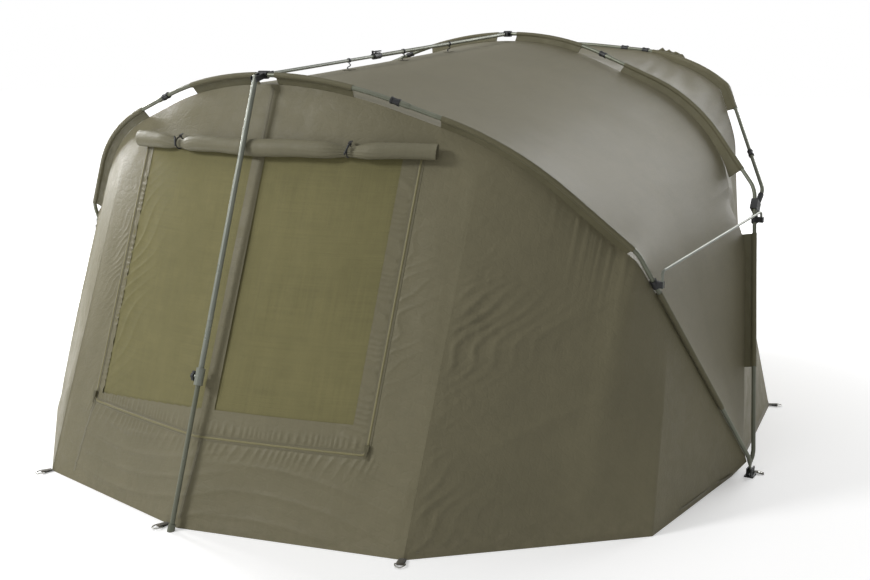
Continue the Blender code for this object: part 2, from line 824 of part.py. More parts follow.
def outward_of(flat):
    """At each point of a flat line, the way out of the hoop."""
    along = np.gradient(flat, axis=0)
    for i in range(1, len(flat) - 1):
        along[i] = unit(flat[i] - flat[i - 1]) + unit(flat[i + 1] - flat[i])
    out = np.stack([along[:, 1], -along[:, 0]], 1)
    return out / np.linalg.norm(out, axis=1, keepdims=True)


def skin_line(rib_line, elbow, low_x):
    """The canopy's seam inside a rib: a fin's width away, and further in at the elbows."""
    line = rib_line - SKIN_DROP * outward_of(rib_line)
    line[:, 0] -= np.sign(line[:, 0]) * ELBOW_CUT * elbow_nearness(rib_line, elbow)
    line = line[line[:, 1] > FOOT_STRAIGHT / 2]
    start = np.array([[low_x, 0.0]])
    return np.vstack([start, line, start * np.array([-1.0, 1.0])])


def elbow_nearness(flat, elbow):
    """One beside a rib's elbow, fading to nothing along the rib."""
    return np.exp(-(((flat[:, 1] - elbow[1]) / ELBOW_CUT_REACH) ** 2))


def sleeve(name, flat, plane, elbow, surface):
    """Cloth folded round a rib, its two layers running down as a fin to the canopy."""
    steps = 8
    inner = (RIB_RADIUS + SLIDE_GAP) / math.cos(math.pi / steps)
    outer = inner + SLEEVE_CLOTH
    aside = np.abs(outward_of(flat)[:, 0])
    depths = SKIN_DROP + ELBOW_CUT * aside * elbow_nearness(flat, elbow) - FIN_CLEARANCE
    slit = SLEEVE_SLIT / 2
    spread = math.pi - math.asin((slit + SLEEVE_CLOTH) / outer)
    wide = slit + SLEEVE_CLOTH
    angles = [spread * (2 * k / steps - 1) for k in range(steps + 1)]
    around = [(outer * math.cos(a), outer * math.sin(a)) for a in angles]
    tight = math.pi - math.asin(slit / inner)
    inner_angles = [tight * (1 - 2 * k / steps) for k in range(steps + 1)]
    within = [(inner * math.cos(a), inner * math.sin(a)) for a in inner_angles]

    def section(i):
        low = depths[i]
        return [(-low, -wide)] + around + [(-low, wide), (-low, slit)] + within + [(-low, -slit)]

    return sweep(name, flat, plane, section, surface)


def build_ribs(paint, moulding):
    """The three ribs in their sections."""
    lines = {}
    foot_end = -(BLADE_HALF_WIDTH - BLADE_END_GAP)
    blade_step = BLADE_HALF_THICKNESS + FIT_GAP / 2
    for rib, plane, elbow, shoulder, apex, radius, joint_x, step in (
        ("front", FRONT, FRONT_ELBOW, FRONT_SHOULDER, FRONT_APEX, FRONT_CROWN_RADIUS, FRONT_JOINT_X, 1),
        ("centre", CENTRE, CENTRE_ELBOW, CENTRE_SHOULDER, CENTRE_APEX, CENTRE_CROWN_RADIUS, CENTRE_JOINT_X, -1),
    ):
        end = (HALF_SPREAD + step * blade_step, foot_end)
        half = hoop(end, elbow, shoulder, apex, radius, FOOT_STRAIGHT)
        line = full_hoop(half)
        lines[rib] = line
        total = lengths_of(line)[-1]
        joint = length_at_x(line, joint_x)
        crown = piece_of(line, joint - PLUG_DEPTH, total - joint + PLUG_DEPTH)
        tube_along(rib + "_crown", crown, plane, RIB_RADIUS, paint)
        for side, word in ((1, "right"), (-1, "left")):
            leg = leg_of(f"{rib}_leg_{word}", line, plane, joint, side, paint)
            centre = np.array([side * end[0], 0.0, AXIS_HEIGHT])
            pin_hole(leg, f"{rib}_leg_{word}_eye", centre, PIN_RADIUS + PIN_GAP, BLADE_HALF_WIDTH)
            set_origin(leg, centre)
    rear_half = hoop(
        (PIVOT_X, foot_end), REAR_ELBOW, REAR_SHOULDER, REAR_APEX, REAR_CROWN_RADIUS, REAR_STRAIGHT
    )
    line = full_hoop(rear_half)
    lines["rear"] = line
    total = lengths_of(line)[-1]
    plug = END_SOCKET_START + BLADE_TAPER / 3
    tube_along("rear_tube", piece_of(line, plug, total - plug), REAR, RIB_RADIUS, paint)
    for side, word in ((1, "right"), (-1, "left")):
        stops = [0.0, END_BLADE, END_SOCKET_START, END_SOCKET_LENGTH]
        flat = np.array([[side * PIVOT_X, foot_end + stop] for stop in stops])

        def section(i):
            if i < 2:
                return oval(BLADE_HALF_THICKNESS, BLADE_HALF_WIDTH)
            return oval(END_SOCKET_RADIUS, END_SOCKET_RADIUS)

        made = sweep(f"rear_end_{word}", flat, REAR, section, moulding)
        mouth = REAR.place(flat[-1:])[0]
        floor = REAR.place(np.array([[side * PIVOT_X, foot_end + plug - FIT_GAP]]))[0]
        mouth = mouth + REAR.up * CUT_OVERRUN
        cut(made, rod(f"rear_end_{word}_bore", floor, mouth, RIB_RADIUS + SLIDE_GAP))
        centre = np.array([side * PIVOT_X, REAR_PIVOT[1], REAR_PIVOT[2]])
        pin_hole(made, f"rear_end_{word}_eye", centre, PIN_RADIUS + PIN_GAP, BLADE_HALF_WIDTH)
        set_origin(made, centre)
    return lines


def pivot_x():
    """Where the pivot blocks stand across the tent, on the centre legs."""
    end = (HALF_SPREAD - BLADE_HALF_THICKNESS - FIT_GAP / 2, 0.0)
    half = hoop(end, CENTRE_ELBOW, CENTRE_SHOULDER, CENTRE_APEX, CENTRE_CROWN_RADIUS, FOOT_STRAIGHT)
    return float(np.interp(PIVOT_S, half[:, 1], half[:, 0]))


PIVOT_X = pivot_x()


def build_sleeves(lines, cloth):
    """Sleeves on every rib, in the lengths between hubs, ferrules, clips and blocks."""
    front = lines["front"]
    centre = lines["centre"]
    rear = lines["rear"]
    hub_x = HUB_HALF_WIDTH + HUB_NOTCH_MARGIN
    for rib, line, plane, elbow, joint, shares in (
        ("front", front, FRONT, FRONT_ELBOW, FRONT_JOINT_X, FRONT_BARE_X_SHARES),
        ("centre", centre, CENTRE, CENTRE_ELBOW, CENTRE_JOINT_X, CENTRE_BARE_X_SHARES),
    ):
        total = lengths_of(line)[-1]
        top = length_at_x(line, joint * shares[0])
        flat = piece_of(line, top, total - top)
        made = sleeve(f"{rib}_sleeve_crown", flat, plane, elbow, cloth)
        apex = plane.place(np.array([[0.0, line[:, 1].max()]]))[0]
        low = apex - plane.up * (HUB_RADIUS + FIT_GAP)
        tall = HUB_RADIUS + CUT_OVERRUN
        axes = (np.array([1.0, 0.0, 0.0]), plane.back, plane.up)
        sizes = (hub_x, HUB_RADIUS, tall)
        cut(made, box(f"{rib}_notch", low + plane.up * tall, axes, sizes))
    upper = length_at_x(front, FRONT_JOINT_X * FRONT_BARE_X_SHARES[1])
    lower = length_at_s(front, SLEEVE_FRONT_END_S)
    leg_top = length_at_s(front, SLEEVE_FRONT_LEG_TOP_S)
    leg_low = length_at_s(front, SLEEVE_FRONT_LEG_LOW_S)
    for side, word in ((1, "right"), (-1, "left")):
        mirror = np.array([side, 1.0])
        flat = piece_of(front, lower, upper)
        sleeve(f"front_sleeve_{word}", flat * mirror, FRONT, FRONT_ELBOW, cloth)
        flat = piece_of(front, leg_low, leg_top)
        sleeve(f"front_leg_sleeve_{word}", flat * mirror, FRONT, FRONT_ELBOW, cloth)
        flat = piece_of(
            centre,
            length_at_s(centre, SLEEVE_CENTRE_END_S),
            length_at_x(centre, CENTRE_JOINT_X * CENTRE_BARE_X_SHARES[1]),
        )
        sleeve(f"centre_sleeve_{word}", flat * mirror, CENTRE, CENTRE_ELBOW, cloth)
        flat = piece_of(
            centre,
            length_at_s(centre, SLEEVE_CENTRE_LEG_LOW_S),
            length_at_s(centre, SLEEVE_CENTRE_LEG_TOP_S),
        )
        sleeve(f"centre_leg_sleeve_{word}", flat * mirror, CENTRE, CENTRE_ELBOW, cloth)
    total = lengths_of(rear)[-1]
    end = length_at_s(rear, SLEEVE_REAR_END_S)
    flat = piece_of(rear, end, total - end)
    sleeve("rear_sleeve", flat, REAR, REAR_ELBOW, cloth)


def hem_y(x):
    """The front hem's place at x, between its middle and its seams."""
    return HEM_CENTRE_Y + (HEM_FRONT_Y - HEM_CENTRE_Y) * abs(x) / HEM_FRONT_X


def front_column(skin, x):
    """The upper and lower ends of the front wall's straight thread at x."""
    at = length_at_x(skin, abs(x))
    top = FRONT.place(resample(skin, at, at, 1))[0]
    top[0] = x
    return top, np.array([x * HEM_FRONT_X / FRONT_SEAM_X, hem_y(x), HEM_LIFT])


def front_point(skin, x, z):
    """A place on the front wall at x and height z."""
    top, low = front_column(skin, x)
    share = z / top[2]
    return low + (top - low) * share


def front_normal(skin, x, z):
    """The way the front wall faces at a place, outward."""
    step = FRONT_SEAM_X / 100
    across = front_point(skin, x + step, z) - front_point(skin, x - step, z)
    rise = front_point(skin, x, z + step) - front_point(skin, x, z - step)
    return unit(np.cross(across, rise))


def build_front(skin, cloth, mesh_cloth, zip_surface, metal):
    """The front wall with its window, zip, sliders and rolled flap."""
    wall_shares = (0.0, 0.4, 0.75, 1.0)
    bends = sorted(x for x in skin[:, 0] if LEAST_RUN < x < FRONT_SEAM_X - LEAST_RUN)
    window_x = [0.0] + [x for x in bends if x < WINDOW_X - LEAST_RUN] + [WINDOW_X]
    outer_x = [x for x in bends if x > WINDOW_X + LEAST_RUN] + [FRONT_SEAM_X]
    half = window_x + outer_x
    columns = [-x for x in reversed(half[1:])] + half
    low_rows = [WINDOW_LOW * share for share in wall_shares]
    mid_rows = list(np.linspace(WINDOW_LOW, WINDOW_HIGH, 5))[1:]
    top_shares = (0.35, 0.7, 1.0)
    grid = []
    for x in columns:
        top, _ = front_column(skin, x)
        rows = low_rows + mid_rows + [WINDOW_HIGH + (top[2] - WINDOW_HIGH) * s for s in top_shares]
        grid.append([front_point(skin, x, z) for z in rows])
    grid = np.array(grid).transpose(1, 0, 2)[::-1]
    columns = np.array(columns)
    inside_x = (columns[:-1] > -WINDOW_X - LEAST_RUN) & (columns[1:] < WINDOW_X + LEAST_RUN)
    heights = np.array(low_rows + mid_rows)
    window_rows = np.zeros(grid.shape[0] - 1, bool)
    first = len(top_shares)
    window_rows[first : first + len(mid_rows)] = True
    assert len(heights) + len(top_shares) == grid.shape[0]
    missing = np.outer(window_rows, inside_x)
    across = np.array([1.0, 0.0, 0.0])
    trims = {"top": FRONT.back, "left": across, "right": across}
    made = shell("front_panel", grid, cloth, missing=missing, trims=trims)
    edge = WINDOW_X - FIT_GAP
    pane_x = [x for x in columns if abs(x) < edge - LEAST_RUN]
    pane_x = [-edge] + pane_x + [edge]
    pane_z = np.linspace(WINDOW_HIGH - FIT_GAP, WINDOW_LOW + FIT_GAP, 4)
    pane = np.array([[front_point(skin, x, z) for x in pane_x] for z in pane_z])
    shell("window", pane, mesh_cloth)
    build_zip(skin, [x for x in columns if abs(x) < WINDOW_X - LEAST_RUN], zip_surface)
    for side, word in ((1, "right"), (-1, "left")):
        build_slider(skin, side, f"zip_slider_{word}", metal)
    build_flap(skin, columns, cloth)
    return made


def zip_place(skin, x, z):
    """A place just ahead of the front wall, where the zip lies."""
    ahead = CLOTH / 2 + FIT_GAP + ZIP_THICKNESS / 2
    return front_point(skin, x, z) + ahead * front_normal(skin, x, z)


def build_zip(skin, columns, surface):
    """The zip's tape down both sides of the window and along its foot."""
    half = ZIP_WIDTH / 2
    left = [(-WINDOW_X, z) for z in np.linspace(WINDOW_HIGH, WINDOW_LOW, 5)]
    foot = [(x, WINDOW_LOW) for x in columns]
    right = [(WINDOW_X, z) for z in np.linspace(WINDOW_LOW, WINDOW_HIGH, 5)]
    path = left + foot + right
    inner = []
    outer = []
    for x, z in path:
        toward_x = math.copysign(half, x) if abs(x) > WINDOW_X - half else 0.0
        toward_z = -half if z < WINDOW_LOW + half else 0.0
        inner.append(zip_place(skin, x - toward_x, z - toward_z))
        outer.append(zip_place(skin, x + toward_x, z + toward_z))
    shell("zip_tape", np.array([inner, outer]), surface, thickness=ZIP_THICKNESS)


def slider_rest(skin, side):
    """Where a slider stops: just above the zip's corner."""
    return zip_place(skin, side * WINDOW_X, WINDOW_LOW + SLIDER_LENGTH)


def build_slider(skin, side, name, surface):
    """A zip slider with its pull hanging down over the tape."""
    place = slider_rest(skin, side)
    out = front_normal(skin, side * WINDOW_X, WINDOW_LOW)
    high = front_point(skin, side * WINDOW_X, WINDOW_HIGH)
    rise = unit(high - front_point(skin, side * WINDOW_X, WINDOW_LOW))
    across = unit(np.cross(rise, out))
    base = ZIP_THICKNESS / 2 + SLIDER_GAP
    centre = place + (base + SLIDER_THICKNESS / 2) * out
    sizes = (SLIDER_HALF_WIDTH, SLIDER_LENGTH / 2, SLIDER_THICKNESS / 2)
    made = box(name, centre, (across, rise, out), sizes, surface)
    pull = centre - rise * (PULL_LENGTH / 2) + out * (SLIDER_THICKNESS / 4)
    sizes = (PULL_HALF_WIDTH, PULL_LENGTH / 2, SLIDER_THICKNESS / 6)
    join(made, box(name + "_pull", pull, (across, rise, out), sizes))
    set_origin(made, place)
    print(name, place, rise)


def build_flap(skin, columns, cloth):
    """The storm flap rolled up above the window, drawn in at its two ties."""
    steps = 14
    rows = []
    beside = (-FLAP_PINCH_LENGTH, 0.0, FLAP_PINCH_LENGTH)
    ties = [side * (FLAP_TIE_X + step) for side in (-1, 1) for step in beside]
    places = sorted([x for x in columns if abs(x) < FLAP_X - LEAST_RUN] + ties + [-FLAP_X, FLAP_X])
    stations = len(places)
    for x in places:
        tie = abs(abs(x) - FLAP_TIE_X) / FLAP_PINCH_LENGTH
        pinch = FLAP_PINCH * math.exp(-tie * tie)
        out = front_normal(skin, x, FLAP_HEIGHT)
        base = front_point(skin, x, FLAP_HEIGHT)
        rise = unit(base - front_point(skin, x, 0.0))
        deep = FLAP_HALF_DEPTH - pinch
        tall = FLAP_HALF_HEIGHT - pinch
        centre = base + out * (CLOTH / 2 + FIT_GAP + deep)
        outer = []
        inner = []
        for k in range(steps + 1):
            angle = math.pi + 2 * math.pi * FLAP_TURNS * k / steps
            shrink = FLAP_PITCH * FLAP_TURNS * k / steps
            for ring, less in ((outer, 0.0), (inner, FLAP_CLOTH)):
                a = deep - shrink - less
                b = tall - shrink - less
                ring.append(centre + a * math.cos(angle) * out + b * math.sin(angle) * rise)
        rows.append(outer + inner[::-1])
    count = len(rows[0])
    points = np.array(rows).reshape(-1, 3)
    faces = []
    for i in range(stations - 1):
        for k in range(count):
            a = i * count + k
            b = i * count + (k + 1) % count
            faces.append([a, b, b + count, a + count])
    for start in (0, (stations - 1) * count):
        for k in range(steps):
            faces.append([start + k, start + k + 1, start + count - 2 - k, start + count - 1 - k])
    add_mesh("flap_roll", points, faces, cloth)


def build_canopy(skins, cloth):
    """Corner, side, roof, hood and rear sheets between the seams and the hem."""
    front, centre, rear = skins
    front_total = lengths_of(front)[-1]
    centre_total = lengths_of(centre)[-1]
    rear_total = lengths_of(rear)[-1]
    seam = length_at_x(front, FRONT_SEAM_X)
    front_low = length_at_s(front, SKIN_FOOT_S)
    centre_low = length_at_s(centre, SKIN_FOOT_S)
    rear_low = length_at_s(rear, SKIN_FOOT_S / 2)
    front_elbow = length_at_s(front, FRONT_ELBOW[1])
    centre_elbow = length_at_s(centre, CENTRE_ELBOW[1])
    block = length_at_s(centre, PIVOT_S)
    rear_corner = REAR.place(resample(rear, rear_low, rear_low, 1))[0]
    for side, word in ((1, "right"), (-1, "left")):
        build_corner(front, seam, front_low, side, word, cloth)
        build_side((front, front_low, front_elbow), (centre, centre_low, centre_elbow), side, word, cloth)
        build_rear_side((centre, centre_low, block), rear_corner, side, word, cloth)
    roof_front = (front, front_elbow, front_total - front_elbow)
    roof_back = (centre, centre_elbow, centre_total - centre_elbow)
    shares = merged(shares_of(*roof_front), shares_of(*roof_back), np.linspace(0.0, 1.0, 17))
    top = FRONT.place(at_shares(*roof_front, shares))
    low = CENTRE.place(at_shares(*roof_back, shares))
    off_ridge_reach_share = 0.30
    edge_reach_share = 0.30

    def roof_sag(v, k):
        middle = abs(2 * shares[k] - 1)
        hang = min(1.0, middle / off_ridge_reach_share) * min(1.0, (1 - middle) / edge_reach_share)
        return np.array([0.0, 0.0, -ROOF_SAG * 4 * v * (1 - v) * hang])

    trims = {
        "top": FRONT.back,
        "low": CENTRE.back,
        "left": elbow_plane(front, front_elbow, centre, centre_elbow, 1),
        "right": elbow_plane(front, front_elbow, centre, centre_elbow, -1),
    }
    shell("roof", ruled(top, low, 7, roof_sag), cloth, trims=trims)
    hood_front = (centre, block, centre_total - block)
    hood_back = (rear, rear_low, rear_total - rear_low)
    shares = merged(shares_of(*hood_front), shares_of(*hood_back))
    top = CENTRE.place(at_shares(*hood_front, shares))
    low = REAR.place(at_shares(*hood_back, shares))

    def hood_sag(v, k):
        return np.array([0.0, 0.0, -HOOD_SAG * 4 * v * (1 - v) * math.sin(math.pi * shares[k])])

    trims = {
        "top": CENTRE.back,
        "low": REAR.back,
        "left": block_plane(top[0], low[0]),
        "right": block_plane(top[-1], low[-1]),
    }
    shell("hood", ruled(top, low, 6, hood_sag), cloth, trims=trims)
    hem = np.array(
        [
            (REAR_CORNER_X, REAR_CORNER_Y, HEM_LIFT),
            (REAR_MIDDLE_X, REAR_MIDDLE_Y, HEM_LIFT),
            (0.0, REAR_CENTRE_Y, HEM_LIFT),
            (-REAR_MIDDLE_X, REAR_MIDDLE_Y, HEM_LIFT),
            (-REAR_CORNER_X, REAR_CORNER_Y, HEM_LIFT),
        ]
    )
    hem_span = (hem, 0.0, lengths_of(hem)[-1])
    shares = merged(shares_of(*hood_back), shares_of(*hem_span), np.linspace(0.0, 1.0, 13))
    low = REAR.place(at_shares(*hood_back, shares))
    ground = at_shares(*hem_span, shares)

    def rear_sag(v, k):
        return np.array([0.0, -REAR_SAG * 4 * v * (1 - v) * math.sin(math.pi * shares[k]), 0.0])

    trims = {
        "top": REAR.back,
        "left": rear_seam_plane(rear_corner, 1),
        "right": rear_seam_plane(rear_corner, -1),
    }
    shell("rear_wall", ruled(low, ground, 7, rear_sag), cloth, trims=trims)


def build_side(front_span, centre_span, side, word, cloth):
    """The sheet between a front leg and a centre leg, from the foot up to the elbows."""
    mirror = np.array([side, 1.0])
    shares = merged(shares_of(*front_span), shares_of(*centre_span), np.linspace(0.0, 1.0, 8))
    upper = FRONT.place(at_shares(*front_span, shares) * mirror)
    lower = CENTRE.place(at_shares(*centre_span, shares) * mirror)

    def sag(v, k):
        depth = SIDE_SAG * 4 * v * (1 - v) * math.sin(math.pi * shares[k])
        return np.array([-side * depth, 0.0, 0.0])

    trims = {
        "top": FRONT.back,
        "low": CENTRE.back,
        "right": elbow_plane(front_span[0], front_span[2], centre_span[0], centre_span[2], side),
    }
    shell(f"side_{word}", ruled(upper, lower, 5, sag), cloth, trims=trims)


def elbow_plane(front, front_at, centre, centre_at, side):
    """The plane of the straight seam between the roof and a side sheet."""
    mirror = np.array([side, 1.0])
    step = SKIN_DROP
    start = FRONT.place(resample(front, front_at, front_at, 1) * mirror)[0]
    end = CENTRE.place(resample(centre, centre_at, centre_at, 1) * mirror)[0]
    above = FRONT.place(resample(front, front_at + step, front_at + step, 1) * mirror)[0]
    below = FRONT.place(resample(front, front_at - step, front_at - step, 1) * mirror)[0]
    return seam_plane(start, end, above, below)


def block_plane(start, end):
    """The plane of the short seam beside a pivot block, between the hood and a rear side sheet."""
    return unit(np.cross(end - start, np.array([1.0, 0.0, 0.0])))


def rear_seam_plane(rear_corner, side):
    """The plane of the straight seam between the rear wall and a rear side sheet."""
    mirror = np.array([side, 1.0, 1.0])
    start = rear_corner * mirror
    end = np.array([side * REAR_CORNER_X, REAR_CORNER_Y, HEM_LIFT])
    back = np.array([side * REAR_MIDDLE_X, REAR_MIDDLE_Y, HEM_LIFT])
    ahead = np.array([side * HEM_FOOT_X, SKIN_DROP, HEM_LIFT])
    return seam_plane(start, end, back, ahead)


def build_rear_side(leg_span, rear_corner, side, word, cloth):
    """The sheet behind a centre leg, down to the hem between foot and rear corner."""
    mirror = np.array([side, 1.0])
    leg_shares = merged(shares_of(*leg_span), np.linspace(0.0, 1.0, 8))
    leg = CENTRE.place(at_shares(*leg_span, leg_shares) * mirror)[::-1]
    leg = np.vstack([rear_corner * np.array([side, 1.0, 1.0]), leg])
    corner = np.array([side * REAR_CORNER_X, REAR_CORNER_Y, HEM_LIFT])
    foot = np.array([side * HEM_FOOT_X, SKIN_DROP, HEM_LIFT])
    along = np.linspace(0.0, 1.0, len(leg))[:, None]
    hem = corner * (1.0 - along) + foot * along
    grid = ruled(leg, hem, 6)
    trims = {
        "top_start": block_plane(leg[1], leg[0]),
        "top_rest": CENTRE.back,
        "left": rear_seam_plane(rear_corner, side),
    }
    shell(f"rear_side_{word}", grid, cloth, trims=trims)


def build_corner(front, seam, low, side, word, cloth):
    """The sheet from the front wall's seam round the corner to a foot, with its pulled folds."""
    mirror = np.array([side, 1.0])
    hem = np.array(
        [
            (side * HEM_FRONT_X, HEM_FRONT_Y, HEM_LIFT),
            (side * HEM_CORNER_X, HEM_CORNER_Y, HEM_LIFT),
            (side * HEM_FOOT_X, -SKIN_DROP, HEM_LIFT),
        ]
    )
    hem_span = (hem, 0.0, lengths_of(hem)[-1])
    leg = piece_of(front, low, seam)[::-1]
    leg_span = (leg, 0.0, lengths_of(leg)[-1])
    shares = merged(shares_of(*leg_span), shares_of(*hem_span), np.linspace(0.0, 1.0, 17))
    upper = FRONT.place(at_shares(*leg_span, shares) * mirror)
    lower = at_shares(*hem_span, shares)
    outward = unit(np.array([side * -HEM_CORNER_Y, -HEM_CORNER_X, 0.0]))
    low_phase_share = 0.4

    def folds(v, k):
        spread = 4 * v * (1 - v) * math.sin(math.pi * shares[k])
        phase = shares[k] * (low_phase_share + (1 - low_phase_share) * v)
        return outward * CORNER_FOLD * spread * math.sin(2 * math.pi * CORNER_FOLD_COUNT * phase)

    grid = ruled(upper, lower, 9, folds)
    trims = {"top": FRONT.back, "left": np.array([1.0, 0.0, 0.0])}
    shell(f"corner_{word}", grid, cloth, trims=trims)


def build_ridge(front_apex, centre_apex, paint, moulding):
    """The telescopic ridge bar, its clamp and the clamp's lever."""
    along = unit(front_apex - centre_apex)
    front_pivot = front_apex - RIDGE_PIVOT_REACH * along
    centre_pivot = centre_apex + RIDGE_PIVOT_REACH * along
    span = np.linalg.norm(front_pivot - centre_pivot)
    mouth = span - RIDGE_CLAMP_FROM_FRONT
    end = -RIDGE_END
    bore = RIDGE_ROD_RADIUS + SLIDE_GAP
    inner = CHEEK_HALF_HEIGHT + RIDGE_CLAMP_LENGTH
    profile = [
        (end, 0.0),
        (end, RIDGE_TUBE_RADIUS),
        (mouth, RIDGE_TUBE_RADIUS),
        (mouth, bore),
        (inner, bore),
        (inner, 0.0),
    ]
    tube = lathe("ridge_tube", centre_pivot, along, profile, paint)
    pin_hole(tube, "ridge_tube_eye", centre_pivot, PIN_RADIUS + PIN_GAP, 2 * RIDGE_TUBE_RADIUS)
    set_origin(tube, centre_pivot)
    rod_end = front_pivot + RIDGE_END * along
    inside = centre_pivot + (mouth - RIDGE_OVERLAP) * along
    sliding = rod("ridge_rod", inside, rod_end, RIDGE_ROD_RADIUS, paint)
    set_origin(sliding, front_pivot)
    clamp_start = mouth - RIDGE_CLAMP_SET_BACK
    clamp_end = clamp_start + RIDGE_CLAMP_LENGTH
    wide = RIDGE_TUBE_RADIUS + FIT_GAP
    lip = mouth + FIT_GAP
    profile = [
        (clamp_start, wide),
        (clamp_start, RIDGE_CLAMP_RADIUS),
        (clamp_end, RIDGE_CLAMP_RADIUS),
        (clamp_end, bore),
        (lip, bore),
        (lip, wide),
    ]
    clamp = lathe("ridge_clamp", centre_pivot, along, profile, moulding)
    over = np.cross(along, np.array([1.0, 0.0, 0.0]))
    over = over if over[2] > 0 else -over
    hinge = centre_pivot + clamp_end * along + (RIDGE_CLAMP_RADIUS + LEVER_THICKNESS) * over
    hinge = hinge - along * LEVER_THICKNESS * 2
    axes = (np.array([1.0, 0.0, 0.0]), along, over)
    gap = LEVER_HALF_WIDTH + FIT_GAP
    cheek = CHEEK_THICKNESS / 2
    ear_low = (RIDGE_TUBE_RADIUS + RIDGE_CLAMP_RADIUS) / 2
    tall = (RIDGE_CLAMP_RADIUS + 2 * LEVER_THICKNESS - ear_low) / 2
    for side in (-1, 1):
        centre = hinge + np.array([side * (gap + cheek), 0.0, 0.0]) + over * (LEVER_THICKNESS - tall)
        sizes = (cheek, LEVER_THICKNESS, tall)
        join(clamp, box(f"ridge_clamp_ear{side}", centre, axes, sizes))
    reach = np.array([gap + cheek, 0.0, 0.0])
    lever_pin = PIN_RADIUS / 2
    join(clamp, rod("ridge_clamp_pin", hinge - reach, hinge + reach, lever_pin, sides=12))
    half = LEVER_LENGTH / 2
    middle = hinge - along * (half - LEVER_THICKNESS / 2)
    sizes = (LEVER_HALF_WIDTH, half, LEVER_THICKNESS / 2)
    lever = box("ridge_lever", middle, axes, sizes, moulding)
    pin_hole(lever, "ridge_lever_eye", hinge, lever_pin + PIN_GAP, 2 * LEVER_HALF_WIDTH)
    set_origin(lever, hinge)
    return front_pivot, centre_pivot, hinge, span


def build_pole(front_apex, paint, moulding):
    """The telescopic storm pole, its clamp knob and its foot."""
    pivot = front_apex + np.array([0.0, -POLE_PIVOT_REACH, -POLE_PIVOT_DROP])
    foot = np.array([0.0, HEM_CENTRE_Y - POLE_FOOT_AHEAD, 0.0])
    down = unit(foot - pivot)
    length = np.linalg.norm(foot - pivot)
    clamp_low = length - POLE_CLAMP_HEIGHT / abs(down[2])
    clamp_top = clamp_low - POLE_CLAMP_LENGTH
    bore = POLE_LOWER_RADIUS + SLIDE_GAP
    ledge = FIT_GAP
    inner = clamp_top - POLE_TRAVEL * 2 - POLE_CLAMP_LENGTH
    profile = [
        (-CHEEK_END, 0.0),
        (-CHEEK_END, POLE_RADIUS),
        (clamp_top, POLE_RADIUS),
        (clamp_top + ledge, POLE_CLAMP_RADIUS),
        (clamp_low, POLE_CLAMP_RADIUS),
        (clamp_low, bore),
        (inner, bore),
        (inner, 0.0),
    ]
    upper = lathe("pole_upper", pivot, down, profile, paint)
    pin_hole(upper, "pole_upper_eye", pivot, PIN_RADIUS + PIN_GAP, 2 * POLE_RADIUS)
    middle = pivot + down * (clamp_low + clamp_top) / 2
    stem_end = middle - np.array([KNOB_STAND_OFF, 0.0, 0.0])
    stem_start = middle - np.array([bore + CHEEK_THICKNESS / 2, 0.0, 0.0])
    join(upper, rod("pole_boss", stem_start, stem_end, KNOB_BOSS_RADIUS))
    set_origin(upper, pivot)
    knob_start = stem_end - np.array([FIT_GAP, 0.0, 0.0])
    knob_radii_share = (0.86, 1.0, 1.0, 0.8)
    knob_stops_share = (0.0, 0.15, 0.75, 1.0)
    profile = [(0.0, 0.0)]
    profile += [
        (KNOB_LENGTH * stop, KNOB_RADIUS * radius)
        for stop, radius in zip(knob_stops_share, knob_radii_share)
    ]
    profile.append((KNOB_LENGTH, 0.0))
    knob = lathe("pole_knob", knob_start, np.array([-1.0, 0.0, 0.0]), profile, moulding)
    wing = knob_start - np.array([KNOB_LENGTH / 2, 0.0, 0.0])
    axes = (np.array([1.0, 0.0, 0.0]), down, np.cross(down, np.array([1.0, 0.0, 0.0])))
    sizes = (KNOB_LENGTH / 3, KNOB_WING, KNOB_STEM_RADIUS)
    join(knob, box("pole_knob_wing", wing, axes, sizes))
    set_origin(knob, knob_start)
    top = clamp_top - POLE_TRAVEL / 2
    slant = POLE_FOOT_RADIUS * abs(down[1])
    lower = rod("pole_lower", pivot + top * down, pivot + (length + slant) * down, POLE_LOWER_RADIUS, paint)
    shoe_top = foot - down * POLE_FOOT_LENGTH
    shoe_end = foot + down * 2 * slant
    join(lower, rod("pole_shoe", shoe_top, shoe_end, POLE_FOOT_RADIUS))
    floor_axes = (np.array([1.0, 0.0, 0.0]), np.array([0.0, 1.0, 0.0]), np.array([0.0, 0.0, 1.0]))
    deep = POLE_FOOT_LENGTH
    sizes = (2 * POLE_FOOT_RADIUS, 3 * POLE_FOOT_RADIUS, deep)
    cut(lower, box("pole_floor", foot - np.array([0.0, 0.0, deep]), floor_axes, sizes))
    set_origin(lower, pivot + top * down)
    return pivot, foot, down, knob_start, middle


